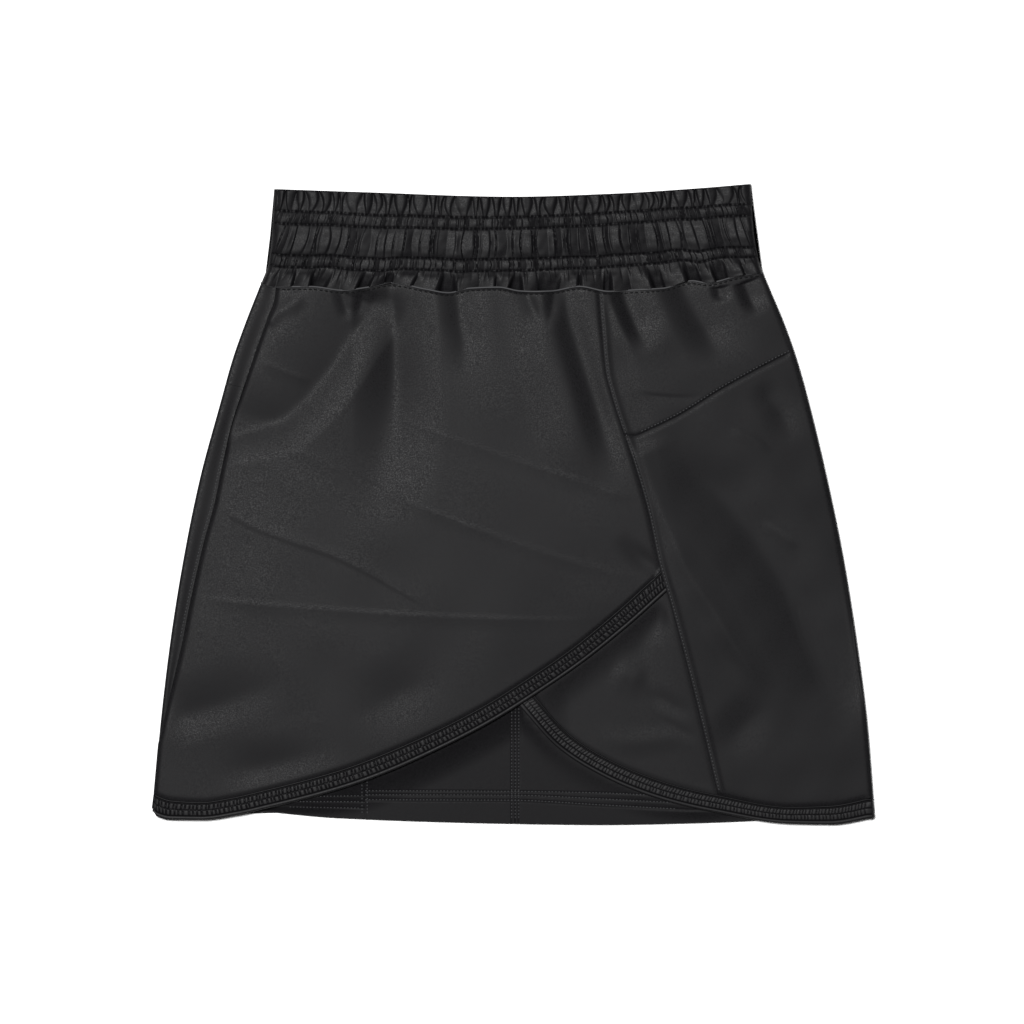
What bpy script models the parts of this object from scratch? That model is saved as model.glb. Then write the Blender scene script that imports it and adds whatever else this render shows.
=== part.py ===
"""Lined athletic skort with a wrap front, laid flat on its back and seen from its front.

+X is to the right and +Y towards the waist as the garment lies, and +Z is up off the surface.
The tables are in millimetres, with the origin on the surface under the middle of the garment.
Left and right are those of a viewer who looks down on the front.
"""
import math
from collections import namedtuple

import bmesh
import bpy
import numpy as np

MM = 0.001
GARMENT = "lined_athletic_skort"

# Walls of cloth, and the height of the middle of each layer above the surface
CLOTH_WALL = 1.0
BAND_WALL = 1.2
BACK_LEVEL = CLOTH_WALL / 2
LINING_LEVEL = 2.0
UNDER_LEVEL = 3.4
WRAP_LEVEL = 5.2
LEFT_SEAM_LEVEL = 4.9
CORNER_LEVEL = 3.5

# The back and the side panel turn round the sides on this radius to the middle of the wall
FOLD_RADIUS = 1.4
FOLD_ANGLES = (150, 120, 90, 60, 30, 0)
LEAST_TURN = 115
SIDE_TURN = 8.0
LINING_INSET = 2.5

# Each piece stops this far short of the line of its seam, and further along a steep hem
HALF_GAP = 0.2
HEM_GAP = 0.6

# How high the front billows between its seams, and how far in crown and folds take to rise
CROWN = 1.1
CROWN_RUN = 30.0
FOLD_RUN = 10.0
LEAST_LIFT = 0.02
LEFT_DROP_RUN = 12.0
LEFT_DROP_WIDTH = 8.0

# Waistband: top of its back half, underside of its front half, and how its ends are rounded
WAIST_BACK_TOP = 2.45
WAIST_FRONT_UNDER = 2.75
WAIST_END_WALL = 0.8
WAIST_BASE = 1.7
WAIST_ROUNDING = 5.0
WAIST_END_MARGIN = 0.003

# Gathers across the front of the waistband, and the larger puffs of its lowest rows
WAIST_GATHERS = 64
FRILL_PUFFS = 23
FRILL_RISE = 0.7
FRILL_START = 0.85

# Ribs of shirring along the hem bands; those of the under band begin where it comes out
WRAP_RIBS = 76
UNDER_RIBS = 48
UNDER_RIBS_PLACE = 0.46
UNDER_BAND_END = 0.992
BAND_SHOWS_FROM = 20.0
BAND_SHOWS_RUN = 35.0

# How finely each piece is divided, as rows down it and columns across it
Grid = namedtuple("Grid", "rows columns")
WRAP_GRID = Grid(20, 21)
UNDER_GRID = Grid(16, 17)
YOKE_GRID = Grid(9, 11)
SIDE_GRID = Grid(19, 11)
BACK_YOKE_GRID = Grid(7, 17)
BACK_GRID = Grid(16, 17)
BACK_HEM_GRID = Grid(3, 14)
LINING_GRID = Grid(9, 7)
WAIST_BACK_GRID = Grid(4, 15)
HIDDEN_COLUMNS = 8

# Columns that shape a turned edge, as parts of the way across the wrap panel, round the left
# side up to the seam, and in from the ends of the back waistband
WRAP_EDGE_COLUMNS = (0.0, 0.010, 0.030)
WRAP_FIRST_COLUMN = 0.065
STRIP_COLUMNS = (1.0, 0.6, 0.32, 0.24, 0.16, 0.08)
WAIST_END_COLUMNS = (0.0, 0.004, 0.010)

# Outline of the body at stations from the waist down to the hem
Edge = namedtuple("Edge", "y left right")
BODY_EDGE = (
    Edge(199, -148, 147.5), Edge(169, -149.5, 149.5), Edge(150, -151.5, 153.0),
    Edge(133, -158, 159.5), Edge(114, -165.5, 167.5), Edge(90, -174, 176),
    Edge(65, -181, 183), Edge(15, -194.5, 195), Edge(-34, -204.5, 205),
    Edge(-84, -212.5, 213), Edge(-134, -218.5, 219.5), Edge(-177, -222.5, 223),
    Edge(-199, -224.5, 224.5),
)

# Lines that run across the garment: height at stations from left to right
Line = namedtuple("Line", "x y")
WAIST_TOP = (Line(-149, 195.5), Line(-92, 193.5), Line(0, 190.7), Line(60, 192.5), Line(116, 196),
             Line(148, 198.7))
WAIST_SEAM = (Line(-158, 138), Line(-125, 135), Line(-90, 134), Line(-40, 132.4), Line(53, 132.4),
              Line(93, 134.3), Line(120, 137.5), Line(157, 143.7))
YOKE_SEAM = (Line(77, 42.5), Line(101, 54), Line(130.5, 72), Line(160, 88), Line(175, 95.5))
BACK_YOKE_SEAM = (Line(-178, 75), Line(-90, 56), Line(0, 49), Line(90, 63), Line(175, 95.5))
LINING_HEM = (Line(-222, -183), Line(-180, -187), Line(-143, -191.5), Line(-107, -194.6),
              Line(0, -198), Line(54, -198.7), Line(116, -197.5), Line(178, -194.5), Line(222, -190))
LINING_SEAMS = (-92.0, 1.5)

# Seam between the front panels and the right side, from the waist down
Seam = namedtuple("Seam", "y x")
PRINCESS_SEAM = (Seam(133, 52.7), Seam(110, 54.6), Seam(83, 57), Seam(65, 61.5), Seam(27.5, 74),
                 Seam(-3, 83), Seam(-37.5, 90.5), Seam(-63.5, 98), Seam(-123, 113.5),
                 Seam(-179, 126.7))

# Width of the strip of the back that shows left of the left seam
Strip = namedtuple("Strip", "y width")
LEFT_STRIP = (Strip(138, 9.5), Strip(123, 13), Strip(95, 13), Strip(50, 11), Strip(28, 12),
              Strip(3, 12.8), Strip(-23, 11), Strip(-60, 9), Strip(-84, 7.8), Strip(-103, 5.9),
              Strip(-125, 3.4), Strip(-142, 1.0), Strip(-150, 0), Strip(-200, 0))

# Hem bands, as pairs of points on their upper and lower edges from left to right
Pair = namedtuple("Pair", "upper_x upper_y lower_x lower_y")
WRAP_HEM = (
    Pair(-222.8, -178.8, -224, -188), Pair(-220.7, -180.3, -220.7, -193.4),
    Pair(-211.5, -183.3, -212.5, -195.4), Pair(-193.5, -184.3, -193, -195.5),
    Pair(-173.5, -181.4, -171.5, -192.5), Pair(-154, -176.8, -151.5, -188),
    Pair(-125, -169.5, -122, -180.7), Pair(-103, -163, -99.5, -174),
    Pair(-82.5, -155.3, -77.5, -166), Pair(-51.5, -141.8, -46.5, -152),
    Pair(-20.5, -126, -14.3, -135.3), Pair(10.5, -106.8, 17.4, -115.6),
    Pair(36.2, -89.3, 43.4, -97.7), Pair(62.8, -67.6, 71.3, -75.3), Pair(92, -41, 95.2, -54),
)
UNDER_HEM = (
    Pair(-194, -25, -197, -37.5), Pair(-132, -30, -134, -42.5), Pair(-70, -45.5, -75, -57.5),
    Pair(-26.5, -73, -35, -82.5), Pair(1, -102, -9, -109), Pair(15.5, -121, 6.5, -127.5),
    Pair(36, -143.2, 27.5, -150.5), Pair(54, -155, 46.5, -163.5), Pair(77.5, -166, 72, -176),
    Pair(103.5, -174.8, 99, -185), Pair(126.7, -180, 123.5, -190.5), Pair(172, -187.3, 171, -197.8),
    Pair(197, -186.5, 197, -198.3), Pair(223, -181.5, 224, -194),
)
BACK_HEM = (
    Pair(-223, -180, -223.5, -190.5), Pair(-180, -181, -180, -192), Pair(-132, -179.5, -132, -191),
    Pair(-70, -182, -70, -193), Pair(0, -184.5, 0, -196), Pair(116, -183.5, 116, -195.5),
    Pair(178, -184.5, 178, -195.5), Pair(223, -181, 223, -192.5),
)

# Height of the side panels along the princess seam
Level = namedtuple("Level", "y z")
SEAM_LEVELS = (Level(140, 5.2), Level(-45, 5.2), Level(-80, 4.4), Level(-180, 3.9))

# Main folds: a bell of the given half width along a line, raised (+) or sunk (-)
Fold = namedtuple("Fold", "x y end_x end_y width height")
WRAP_FOLDS = (
    Fold(-91, 127, -146, 40, 11, 2.2), Fold(-118, 107, -173, 52, 10, -1.2),
    Fold(-77, 133, -75, 15, 8, -1.4), Fold(-64, 133, -62, 50, 9, 1.0),
    Fold(-40, 131, -38, 92, 9, 1.0), Fold(-16, 99, -38, 52, 10, 0.8),
    Fold(17, 132, 17, 98, 9, -1.2), Fold(31, 127, 47, 23, 9, -1.2),
    Fold(46, 105, 60, 46, 8, 1.0), Fold(-146, 40, 68, -46, 8, 0.8),
    Fold(-74, 54, 77, 3, 8, 0.6), Fold(-183, -2, -50, -65, 8, 0.6),
    Fold(-198, -57, 33, -71, 8, 0.7), Fold(-197, -130, -147, -112, 13, -1.1),
    Fold(-190, -145, -90, -120, 12, 0.8), Fold(-185, -165, -113, -155, 11, -0.9),
)
YOKE_FOLDS = (
    Fold(62, 132, 76, 88, 8, -1.0), Fold(98, 129, 127, 85, 9, -0.9), Fold(133, 137, 139, 114, 8, 0.9),
    Fold(82, 122, 104, 80, 8, 0.7), Fold(147, 133, 160, 113, 7, -0.7),
)
SIDE_FOLDS = (
    Fold(78, 38, 128, -78, 9, 1.2), Fold(99, 21, 145, -22, 11, -0.9),
    Fold(145, -22, 213, -127, 11, -1.0), Fold(133, 47, 161, 33, 9, 0.6),
    Fold(157, -108, 131, -140, 11, -0.9), Fold(141, -160, 180, -142, 10, -0.7),
    Fold(186, -60, 205, -110, 12, 0.6),
)
UNDER_FOLDS = (
    Fold(62, -102, 92, -118, 10, 0.5), Fold(48, -140, 100, -138, 9, 0.7),
    Fold(70, -160, 104, -160, 8, 0.5), Fold(78, -92, 88, -76, 9, 0.4),
)

# Rows across the front waistband: place from top edge to seam, rise, gather depth, lean
Row = namedtuple("Row", "place rise gather lean")
WAISTBAND_ROWS = (
    Row(0.00, 0.2, 0.10, 0.0), Row(0.05, 1.2, 0.45, 0.1), Row(0.14, 1.7, 0.60, 0.3),
    Row(0.225, 0.5, 0.25, 0.6), Row(0.29, 1.1, 0.40, 0.2), Row(0.355, 0.5, 0.25, -0.4),
    Row(0.46, 1.5, 0.60, -0.2), Row(0.58, 1.5, 0.60, 0.2), Row(0.69, 0.5, 0.25, 0.5),
    Row(0.75, 1.1, 0.40, 0.1), Row(0.815, 0.5, 0.25, -0.4), Row(0.91, 1.7, 0.45, 0.0),
    Row(1.00, 0.9, 0.20, 0.0),
)

# Rows across a hem band: place from upper to lower edge, rise, rib depth
Rib = namedtuple("Rib", "place rise rib")
HEM_ROWS = (
    Rib(0.00, 0.0, 0.0), Rib(0.08, 0.35, 0.0), Rib(0.18, 0.0, 0.0), Rib(0.50, 0.30, 0.25),
    Rib(0.82, 0.05, 0.0), Rib(0.92, 0.25, 0.0), Rib(1.00, -0.3, 0.0),
)

# Finishes: colour as linear red, green, blue, then roughness
Finish = namedtuple("Finish", "colour roughness")
SHELL = Finish((0.026, 0.027, 0.030), 0.78)
BAND = Finish((0.022, 0.023, 0.026), 0.82)
LINING = Finish((0.020, 0.021, 0.024), 0.86)


# ---------- curves ----------

def column(table, name):
    """One named column of a table, as an array."""
    return np.array([getattr(row, name) for row in table], float)


def through(stations, values):
    """Smooth function through values at stations, which keeps between its neighbours."""
    order = np.argsort(stations)
    s, v = np.asarray(stations, float)[order], np.asarray(values, float)[order]
    step = np.diff(s)
    slope = np.diff(v) / step
    before, after = slope[:-1], slope[1:]
    both = before * after > 0
    mean = np.where(both, 2 * before * after / np.where(both, before + after, 1), 0)
    tangent = np.concatenate([slope[:1], mean, slope[-1:]])

    def value(at):
        at = np.clip(at, s[0], s[-1])
        i = np.clip(np.searchsorted(s, at) - 1, 0, len(step) - 1)
        t = (at - s[i]) / step[i]
        rise = v[i + 1] - v[i]
        bend = (tangent[i] + tangent[i + 1]) * step[i] - 2 * rise
        return v[i] + t * (tangent[i] * step[i] + t * (rise - tangent[i] * step[i] + (t - 1) * bend))

    return value


left_edge = through(column(BODY_EDGE, "y"), column(BODY_EDGE, "left"))
right_edge = through(column(BODY_EDGE, "y"), column(BODY_EDGE, "right"))
waist_top = through(column(WAIST_TOP, "x"), column(WAIST_TOP, "y"))
waist_seam = through(column(WAIST_SEAM, "x"), column(WAIST_SEAM, "y"))
yoke_seam = through(column(YOKE_SEAM, "x"), column(YOKE_SEAM, "y"))
back_yoke_seam = through(column(BACK_YOKE_SEAM, "x"), column(BACK_YOKE_SEAM, "y"))
lining_hem = through(column(LINING_HEM, "x"), column(LINING_HEM, "y"))
princess_seam = through(column(PRINCESS_SEAM, "y"), column(PRINCESS_SEAM, "x"))
strip_width = through(column(LEFT_STRIP, "y"), column(LEFT_STRIP, "width"))
wrap_hem_top = through(column(WRAP_HEM, "upper_x"), column(WRAP_HEM, "upper_y"))
under_hem_top = through(column(UNDER_HEM, "upper_x"), column(UNDER_HEM, "upper_y"))
back_hem_top = through(column(BACK_HEM, "upper_x"), column(BACK_HEM, "upper_y"))
back_hem_low = through(column(BACK_HEM, "lower_x"), column(BACK_HEM, "lower_y"))
under_hem_low = through(column(UNDER_HEM, "lower_x"), column(UNDER_HEM, "lower_y"))
side_seam_level = through(column(SEAM_LEVELS, "y"), column(SEAM_LEVELS, "z"))


def left_seam(y):
    """Line of the left seam."""
    return left_edge(y) + strip_width(y)


def below_waist(x):
    """Upper edge of every piece that hangs from the waist seam."""
    return waist_seam(x) - HALF_GAP


def above(line):
    """Edge of the piece above a seam that runs across."""
    return shifted(line, HALF_GAP)


def below(line):
    """Edge of the piece below a seam that runs across."""
    return shifted(line, -HALF_GAP)


def right_of(line):
    """Edge of the piece to the right of a seam that runs down."""
    return shifted(line, HALF_GAP)


def left_of(line):
    """Edge of the piece to the left of a seam that runs down."""
    return shifted(line, -HALF_GAP)


def smooth(t):
    """Ease from 0 to 1 as t goes from 0 to 1."""
    t = np.clip(t, 0, 1)
    return t * t * (3 - 2 * t)


def shifted(line, by):
    """The same line, moved over by a distance."""
    return lambda at: line(at) + by


def meet(line, edge):
    """Height at which a line that runs across meets an edge that runs down."""
    y = 0.0
    for _ in range(40):
        y = float(line(edge(y)))
    return y


def panel_plan(upper, lower, left, right, u, v):
    """Plan of a panel between two lines across and two edges down, as rows from the top."""
    left_y = [meet(line, left) for line in (upper, lower)]
    right_y = [meet(line, right) for line in (upper, lower)]
    a, b = u[:, None], v[:, None]

    def across(line, start, end):
        x = start + (end - start) * u
        return np.stack([x, line(x)], axis=-1)

    def down(edge, start, end):
        y = start + (end - start) * v
        return np.stack([edge(y), y], axis=-1)

    top, low = [across(line, left(y1), right(y2))
                for line, y1, y2 in zip((upper, lower), left_y, right_y)]
    near, far = down(left, *left_y), down(right, *right_y)
    between_rows = (1 - b)[..., None] * top + b[..., None] * low
    between_edges = (1 - a) * near[:, None] + a * far[:, None]
    ends = ((1 - b)[..., None] * ((1 - a) * top[0] + a * top[-1])
            + b[..., None] * ((1 - a) * low[0] + a * low[-1]))
    return between_rows + between_edges - ends


def raised(flat, height):
    """Points of a flat grid at the heights given."""
    return np.concatenate([flat, np.broadcast_to(height, flat.shape[:2])[..., None]], axis=-1)


def relief(x, y, folds):
    """Height of all folds together: each is a bell across its line and dies out at both ends."""
    total = np.zeros_like(x)
    for fold in folds:
        run = np.array([fold.end_x - fold.x, fold.end_y - fold.y])
        length = math.hypot(*run)
        along = ((x - fold.x) * run[0] + (y - fold.y) * run[1]) / length
        aside = ((y - fold.y) * run[0] - (x - fold.x) * run[1]) / length
        ends = smooth(along / fold.width + 1) * smooth((length - along) / fold.width + 1)
        total += fold.height * ends * np.exp(-(aside / fold.width) ** 2)
    return total


def billow(x, y, folds, inside):
    """Crown and folds of a panel, where inside is the distance in from its nearest seam."""
    lift = CROWN * smooth(inside / CROWN_RUN) + relief(x, y, folds) * smooth(inside / FOLD_RUN)
    return np.maximum(lift, 0)


# ---------- solids ----------

def finish_material(name, finish):
    """Plain cloth material of one piece."""
    material = bpy.data.materials.new(name + "_cloth")
    material.use_nodes = True
    shader = material.node_tree.nodes["Principled BSDF"]
    shader.inputs["Base Color"].default_value = (*finish.colour, 1.0)
    shader.inputs["Roughness"].default_value = finish.roughness
    shader.inputs["Metallic"].default_value = 0.0
    return material


def add_piece(name, points, faces, finish):
    """Object of a piece from points in millimetres and faces."""
    mesh = bpy.data.meshes.new(name)
    mesh.from_pydata((np.reshape(points, (-1, 3)) * MM).tolist(), [], faces)
    mesh.shade_smooth()
    mesh.set_sharp_from_angle(angle=math.radians(60))
    mesh.materials.append(finish_material(name, finish))
    piece = bpy.data.objects.new(name, mesh)
    bpy.data.collections[GARMENT].objects.link(piece)
    return piece


def grid_faces(rows, columns, first=0):
    """Quads of a grid whose points are numbered row by row."""
    return [(first + r * columns + c, first + (r + 1) * columns + c,
             first + (r + 1) * columns + c + 1, first + r * columns + c + 1)
            for r in range(rows - 1) for c in range(columns - 1)]


def sheet(name, grid, wall, finish):
    """Wall of cloth with the grid at its middle."""
    rows, columns = grid.shape[:2]
    piece = add_piece(name, grid, grid_faces(rows, columns), finish)
    thick = piece.modifiers.new("wall", "SOLIDIFY")
    thick.thickness = wall * MM
    thick.offset = 0.0
    return piece


def slab(name, outer, inner, finish):
    """Solid between a ribbed outer surface and a plain inner one, which have unlike forms."""
    rows, columns = outer.shape[:2]
    count = rows * columns
    faces = grid_faces(rows, columns)
    faces += [tuple(reversed(face)) for face in grid_faces(rows, columns, count)]
    corners = [[r * columns + c for c in range(columns)] for r in range(rows)]
    rim = (corners[0] + [row[-1] for row in corners[1:]] + corners[-1][-2::-1]
           + [row[0] for row in corners[-2:0:-1]])
    for here, there in zip(rim, rim[1:] + rim[:1]):
        faces.append((here, there, there + count, here + count))
    piece = add_piece(name, np.stack([outer, inner]), faces, finish)
    model = bmesh.new()
    model.from_mesh(piece.data)
    bmesh.ops.recalc_face_normals(model, faces=model.faces)
    model.to_mesh(piece.data)
    model.free()
    return piece


# ---------- sides ----------

def fold_line(edge, side, half_wall):
    """Line in plan on which a fold round a side begins, as a function of y."""
    return lambda y: edge(y) - side * (FOLD_RADIUS + half_wall)


def followed(turn, y, upper, lower, v):
    """Columns round a side, with rows v of the way from the piece's upper to its lower line."""
    v, rows = v[:, None], np.array(y)[:, None]
    for _ in range(6):
        x, z = turn(rows)
        rows = (1 - v) * upper(x) + v * lower(x)
    return np.stack([x, rows, z], axis=-1)


def right_turn(level, half_wall):
    """Path round the right side and onto the underside: x and z of each column at heights y."""
    turn = np.radians(FOLD_ANGLES + FOLD_ANGLES[-1:])[None, :]

    def path(y):
        x = fold_line(right_edge, 1, half_wall)(y) + FOLD_RADIUS * np.sin(turn)
        x[:, -1:] = (right_edge(y) - SIDE_TURN)[:, -1:]
        return x, np.broadcast_to(level + FOLD_RADIUS * (1 - np.cos(turn)), x.shape)

    return path


def left_turn(level, half_wall):
    """Path up round the left side as far as the left seam, from the seam: x and z at heights y."""
    run = np.array(STRIP_COLUMNS)[None, :]

    def path(y):
        beyond = strip_width(y) - HALF_GAP - FOLD_RADIUS - half_wall
        reach = np.arcsin(np.clip(-beyond / FOLD_RADIUS, 0, 1))
        stop = np.maximum(np.pi - reach, math.radians(LEAST_TURN))
        length = (stop * FOLD_RADIUS + np.maximum(beyond, 0)) * run
        turn = np.minimum(length / FOLD_RADIUS, np.pi)
        past = np.maximum(length - np.pi * FOLD_RADIUS, 0)
        x = fold_line(left_edge, -1, half_wall)(y) - FOLD_RADIUS * np.sin(turn) + past
        return x, level + FOLD_RADIUS * (1 - np.cos(turn))

    return path


# ---------- pieces ----------

def wrap_height(x, y):
    """Middle of the wrap panel and of its hem band."""
    from_left = x - left_seam(y)
    inside = np.minimum.reduce([from_left, princess_seam(y) - x, waist_seam(x) - y,
                                y - wrap_hem_top(x)])
    seam = CORNER_LEVEL + (LEFT_SEAM_LEVEL - CORNER_LEVEL) * smooth(strip_width(y) / LEFT_DROP_WIDTH)
    drawn = (WRAP_LEVEL - seam) * (1 - smooth(from_left / LEFT_DROP_RUN))
    return WRAP_LEVEL - drawn + billow(x, y, WRAP_FOLDS, inside)


def front_wrap_panel():
    """Upper front panel, from the left seam to the princess seam and down to its curved hem."""
    u = np.concatenate([WRAP_EDGE_COLUMNS, np.linspace(WRAP_FIRST_COLUMN, 1, WRAP_GRID.columns)])
    plan = panel_plan(below_waist, shifted(wrap_hem_top, HEM_GAP), right_of(left_seam),
                      left_of(princess_seam), u, np.linspace(0, 1, WRAP_GRID.rows))
    grid = raised(plan, wrap_height(plan[..., 0], plan[..., 1]))
    sheet("front_wrap_panel", grid, CLOTH_WALL, SHELL)


def front_under_panel():
    """Lower front panel, which shows below the wrap panel at the right."""
    hidden = np.linspace(0, UNDER_RIBS_PLACE, HIDDEN_COLUMNS, endpoint=False)
    u = np.concatenate([hidden, np.linspace(UNDER_RIBS_PLACE, 1, UNDER_GRID.columns)])
    plan = panel_plan(below_waist, shifted(under_hem_top, HEM_GAP), right_of(left_seam),
                      left_of(princess_seam), u, np.linspace(0, 1, UNDER_GRID.rows))
    x, y = plan[..., 0], plan[..., 1]
    inside = np.minimum.reduce([princess_seam(y) - x, y - under_hem_top(x)])
    lift = np.maximum(relief(x, y, UNDER_FOLDS) * smooth(inside / FOLD_RUN), 0)
    lift[lift < LEAST_LIFT] = 0
    sheet("front_under_panel", raised(plan, UNDER_LEVEL + lift), CLOTH_WALL, SHELL)


def side_height(x, y, folds, upper, lower):
    """Middle of the right side: from the princess seam down to the fold at the right edge."""
    start, end = princess_seam(y), fold_line(right_edge, 1, CLOTH_WALL / 2)(y)
    along = np.clip((x - start) / (end - start), 0, 1)
    inside = np.minimum.reduce([x - start, end - x, upper(x) - y, y - lower(x)])
    at_seam = side_seam_level(y)
    at_fold = BACK_LEVEL + 2 * FOLD_RADIUS
    return at_seam + (at_fold - at_seam) * smooth(along) + billow(x, y, folds, inside)


def side_piece(name, upper, lower, folds, grid):
    """Piece of the right side: over the front, round the fold and onto the underside."""
    half, v = CLOTH_WALL / 2, np.linspace(0, 1, grid.rows)
    plan = panel_plan(upper, lower, right_of(princess_seam), fold_line(right_edge, 1, half),
                      np.linspace(0, 1, grid.columns), v)
    height = side_height(plan[..., 0], plan[..., 1], folds, upper, lower)
    turn = followed(right_turn(half, half), plan[:, -1, 1], upper, lower, v)
    sheet(name, np.concatenate([raised(plan, height), turn], axis=1), CLOTH_WALL, SHELL)


def side_pieces():
    """Yoke and side panel at the right of the front."""
    side_piece("front_side_yoke", below_waist, above(yoke_seam), YOKE_FOLDS, YOKE_GRID)
    side_piece("front_side_panel", below(yoke_seam), above(under_hem_top), SIDE_FOLDS, SIDE_GRID)


def back_piece(name, upper, lower, grid, wall, finish):
    """Piece of the back, flat on the surface and turned up round the left side to the seam."""
    half, v = wall / 2, np.linspace(0, 1, grid.rows)
    seam = shifted(right_edge, -SIDE_TURN - 2 * HALF_GAP)
    plan = panel_plan(upper, lower, fold_line(left_edge, -1, half), seam,
                      np.linspace(0, 1, grid.columns), v)
    turn = followed(left_turn(half, half), plan[:, 0, 1], upper, lower, v)
    sheet(name, np.concatenate([turn, raised(plan, half)], axis=1), wall, finish)


def back_pieces():
    """Yoke, panel and hem band of the back."""
    back_piece("back_yoke", below_waist, above(back_yoke_seam), BACK_YOKE_GRID, CLOTH_WALL, SHELL)
    back_piece("back_panel", below(back_yoke_seam), above(back_hem_top), BACK_GRID, CLOTH_WALL,
               SHELL)
    back_piece("back_hem_band", below(back_hem_top), back_hem_low, BACK_HEM_GRID, BAND_WALL, BAND)


def lining_pieces():
    """Three flat pieces of the lining, joined by two upright seams."""
    upright = [lambda y, at=at: at + 0.0 * np.asarray(y, float) for at in LINING_SEAMS]
    edges = ((shifted(left_edge, LINING_INSET), left_of(upright[0])),
             (right_of(upright[0]), left_of(upright[1])),
             (right_of(upright[1]), shifted(right_edge, -LINING_INSET)))
    for name, (left, right) in zip(("lining_side", "lining_left", "lining_right"), edges):
        plan = panel_plan(below_waist, lining_hem, left, right,
                          np.linspace(0, 1, LINING_GRID.columns),
                          np.linspace(0, 1, LINING_GRID.rows))
        sheet(name, raised(plan, LINING_LEVEL), CLOTH_WALL, LINING)


def gather_wave(gathers):
    """Crests and hollows in turn, one column each, every one a little unlike the last."""
    i = np.arange(2 * gathers + 1)
    uneven = 1 + 0.3 * np.sin(2.4 * i) + 0.2 * np.sin(0.71 * i + 1)
    return np.where(i % 2 == 0, 1.0, -1.0) * uneven


def waistband_plan(u, v):
    """Plan of the waistband between its top edge and the waist seam."""
    return panel_plan(waist_top, above(waist_seam), left_edge, right_edge, u, v)


def rounding(u, length):
    """Rise of a rounded end from nothing at both ends of the band to one inside."""
    inward = np.clip(np.minimum(u, 1 - u) * length / WAIST_ROUNDING, 0, 1)
    return np.sqrt(1 - (1 - inward) ** 2)


def waistband_front():
    """Front half of the waistband, gathered on four rows of elastic stitching."""
    wave = np.concatenate([[0], gather_wave(WAIST_GATHERS), [0]])
    gathered = np.linspace(WAIST_END_MARGIN, 1 - WAIST_END_MARGIN, len(wave) - 2)
    u, v = np.concatenate([[0], gathered, [1]]), column(WAISTBAND_ROWS, "place")
    plan = waistband_plan(u, v)
    body = rounding(u, plan[0, -1, 0] - plan[0, 0, 0])
    puffs = 0.5 + 0.5 * np.cos(2 * np.pi * FRILL_PUFFS * u + 1.5 * np.sin(9 * u))
    frill = np.where(v > FRILL_START, FRILL_RISE, 0)[:, None] * puffs
    rise = column(WAISTBAND_ROWS, "rise")[:, None]
    gather = column(WAISTBAND_ROWS, "gather")[:, None] * wave
    outer = WAIST_FRONT_UNDER + WAIST_END_WALL + body * (WAIST_BASE + rise + gather + frill)
    plan[..., 0] += column(WAISTBAND_ROWS, "lean")[:, None] * body ** 4
    slab("waistband_front", raised(plan, outer), raised(plan, WAIST_FRONT_UNDER), BAND)


def waistband_back():
    """Back half of the waistband, flat where it rests."""
    ends = np.array(WAIST_END_COLUMNS)
    first = 2 * ends[-1]
    middle = np.linspace(first, 1 - first, WAIST_BACK_GRID.columns)
    plan = waistband_plan(np.concatenate([ends, middle, 1 - ends[::-1]]),
                          np.linspace(0, 1, WAIST_BACK_GRID.rows))
    body = rounding(np.concatenate([ends, middle, 1 - ends[::-1]]), plan[0, -1, 0] - plan[0, 0, 0])
    low = (WAIST_BACK_TOP - WAIST_END_WALL) * (1 - body)
    slab("waistband_back", raised(plan, WAIST_BACK_TOP), raised(plan, low), BAND)


def band_plan(table, along):
    """Plan of a hem band: rows across it, and columns at the places given along it."""
    names = ("upper_x", "upper_y", "lower_x", "lower_y")
    upper_x, upper_y, lower_x, lower_y = [column(table, name) for name in names]
    step = np.hypot(np.diff(upper_x), np.diff(upper_y))
    station = np.concatenate([[0], np.cumsum(step)]) / step.sum()
    top_x, low_x = through(station, upper_x)(along), through(station, lower_x)(along)
    top = np.stack([top_x, through(upper_x, upper_y)(top_x) - HALF_GAP], axis=-1)
    low = np.stack([low_x, through(lower_x, lower_y)(low_x)], axis=-1)
    return top + (low - top) * column(HEM_ROWS, "place")[:, None, None]


def shirring(wave):
    """How far a hem band's rows stand proud of its wall along a wave of ribs."""
    return column(HEM_ROWS, "rise")[:, None] + column(HEM_ROWS, "rib")[:, None] * wave


def wrap_hem_band():
    """Shirred band along the curved hem of the wrap panel."""
    wave = gather_wave(WRAP_RIBS)
    plan = band_plan(WRAP_HEM, np.linspace(0, 1, len(wave)))
    plan[:, -1, 0] = princess_seam(plan[:, -1, 1]) - HALF_GAP
    middle = wrap_height(plan[..., 0], plan[..., 1])
    outer = middle + BAND_WALL / 2 + shirring(wave)
    slab("wrap_hem_band", raised(plan, outer), raised(plan, middle - BAND_WALL / 2), BAND)


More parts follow.
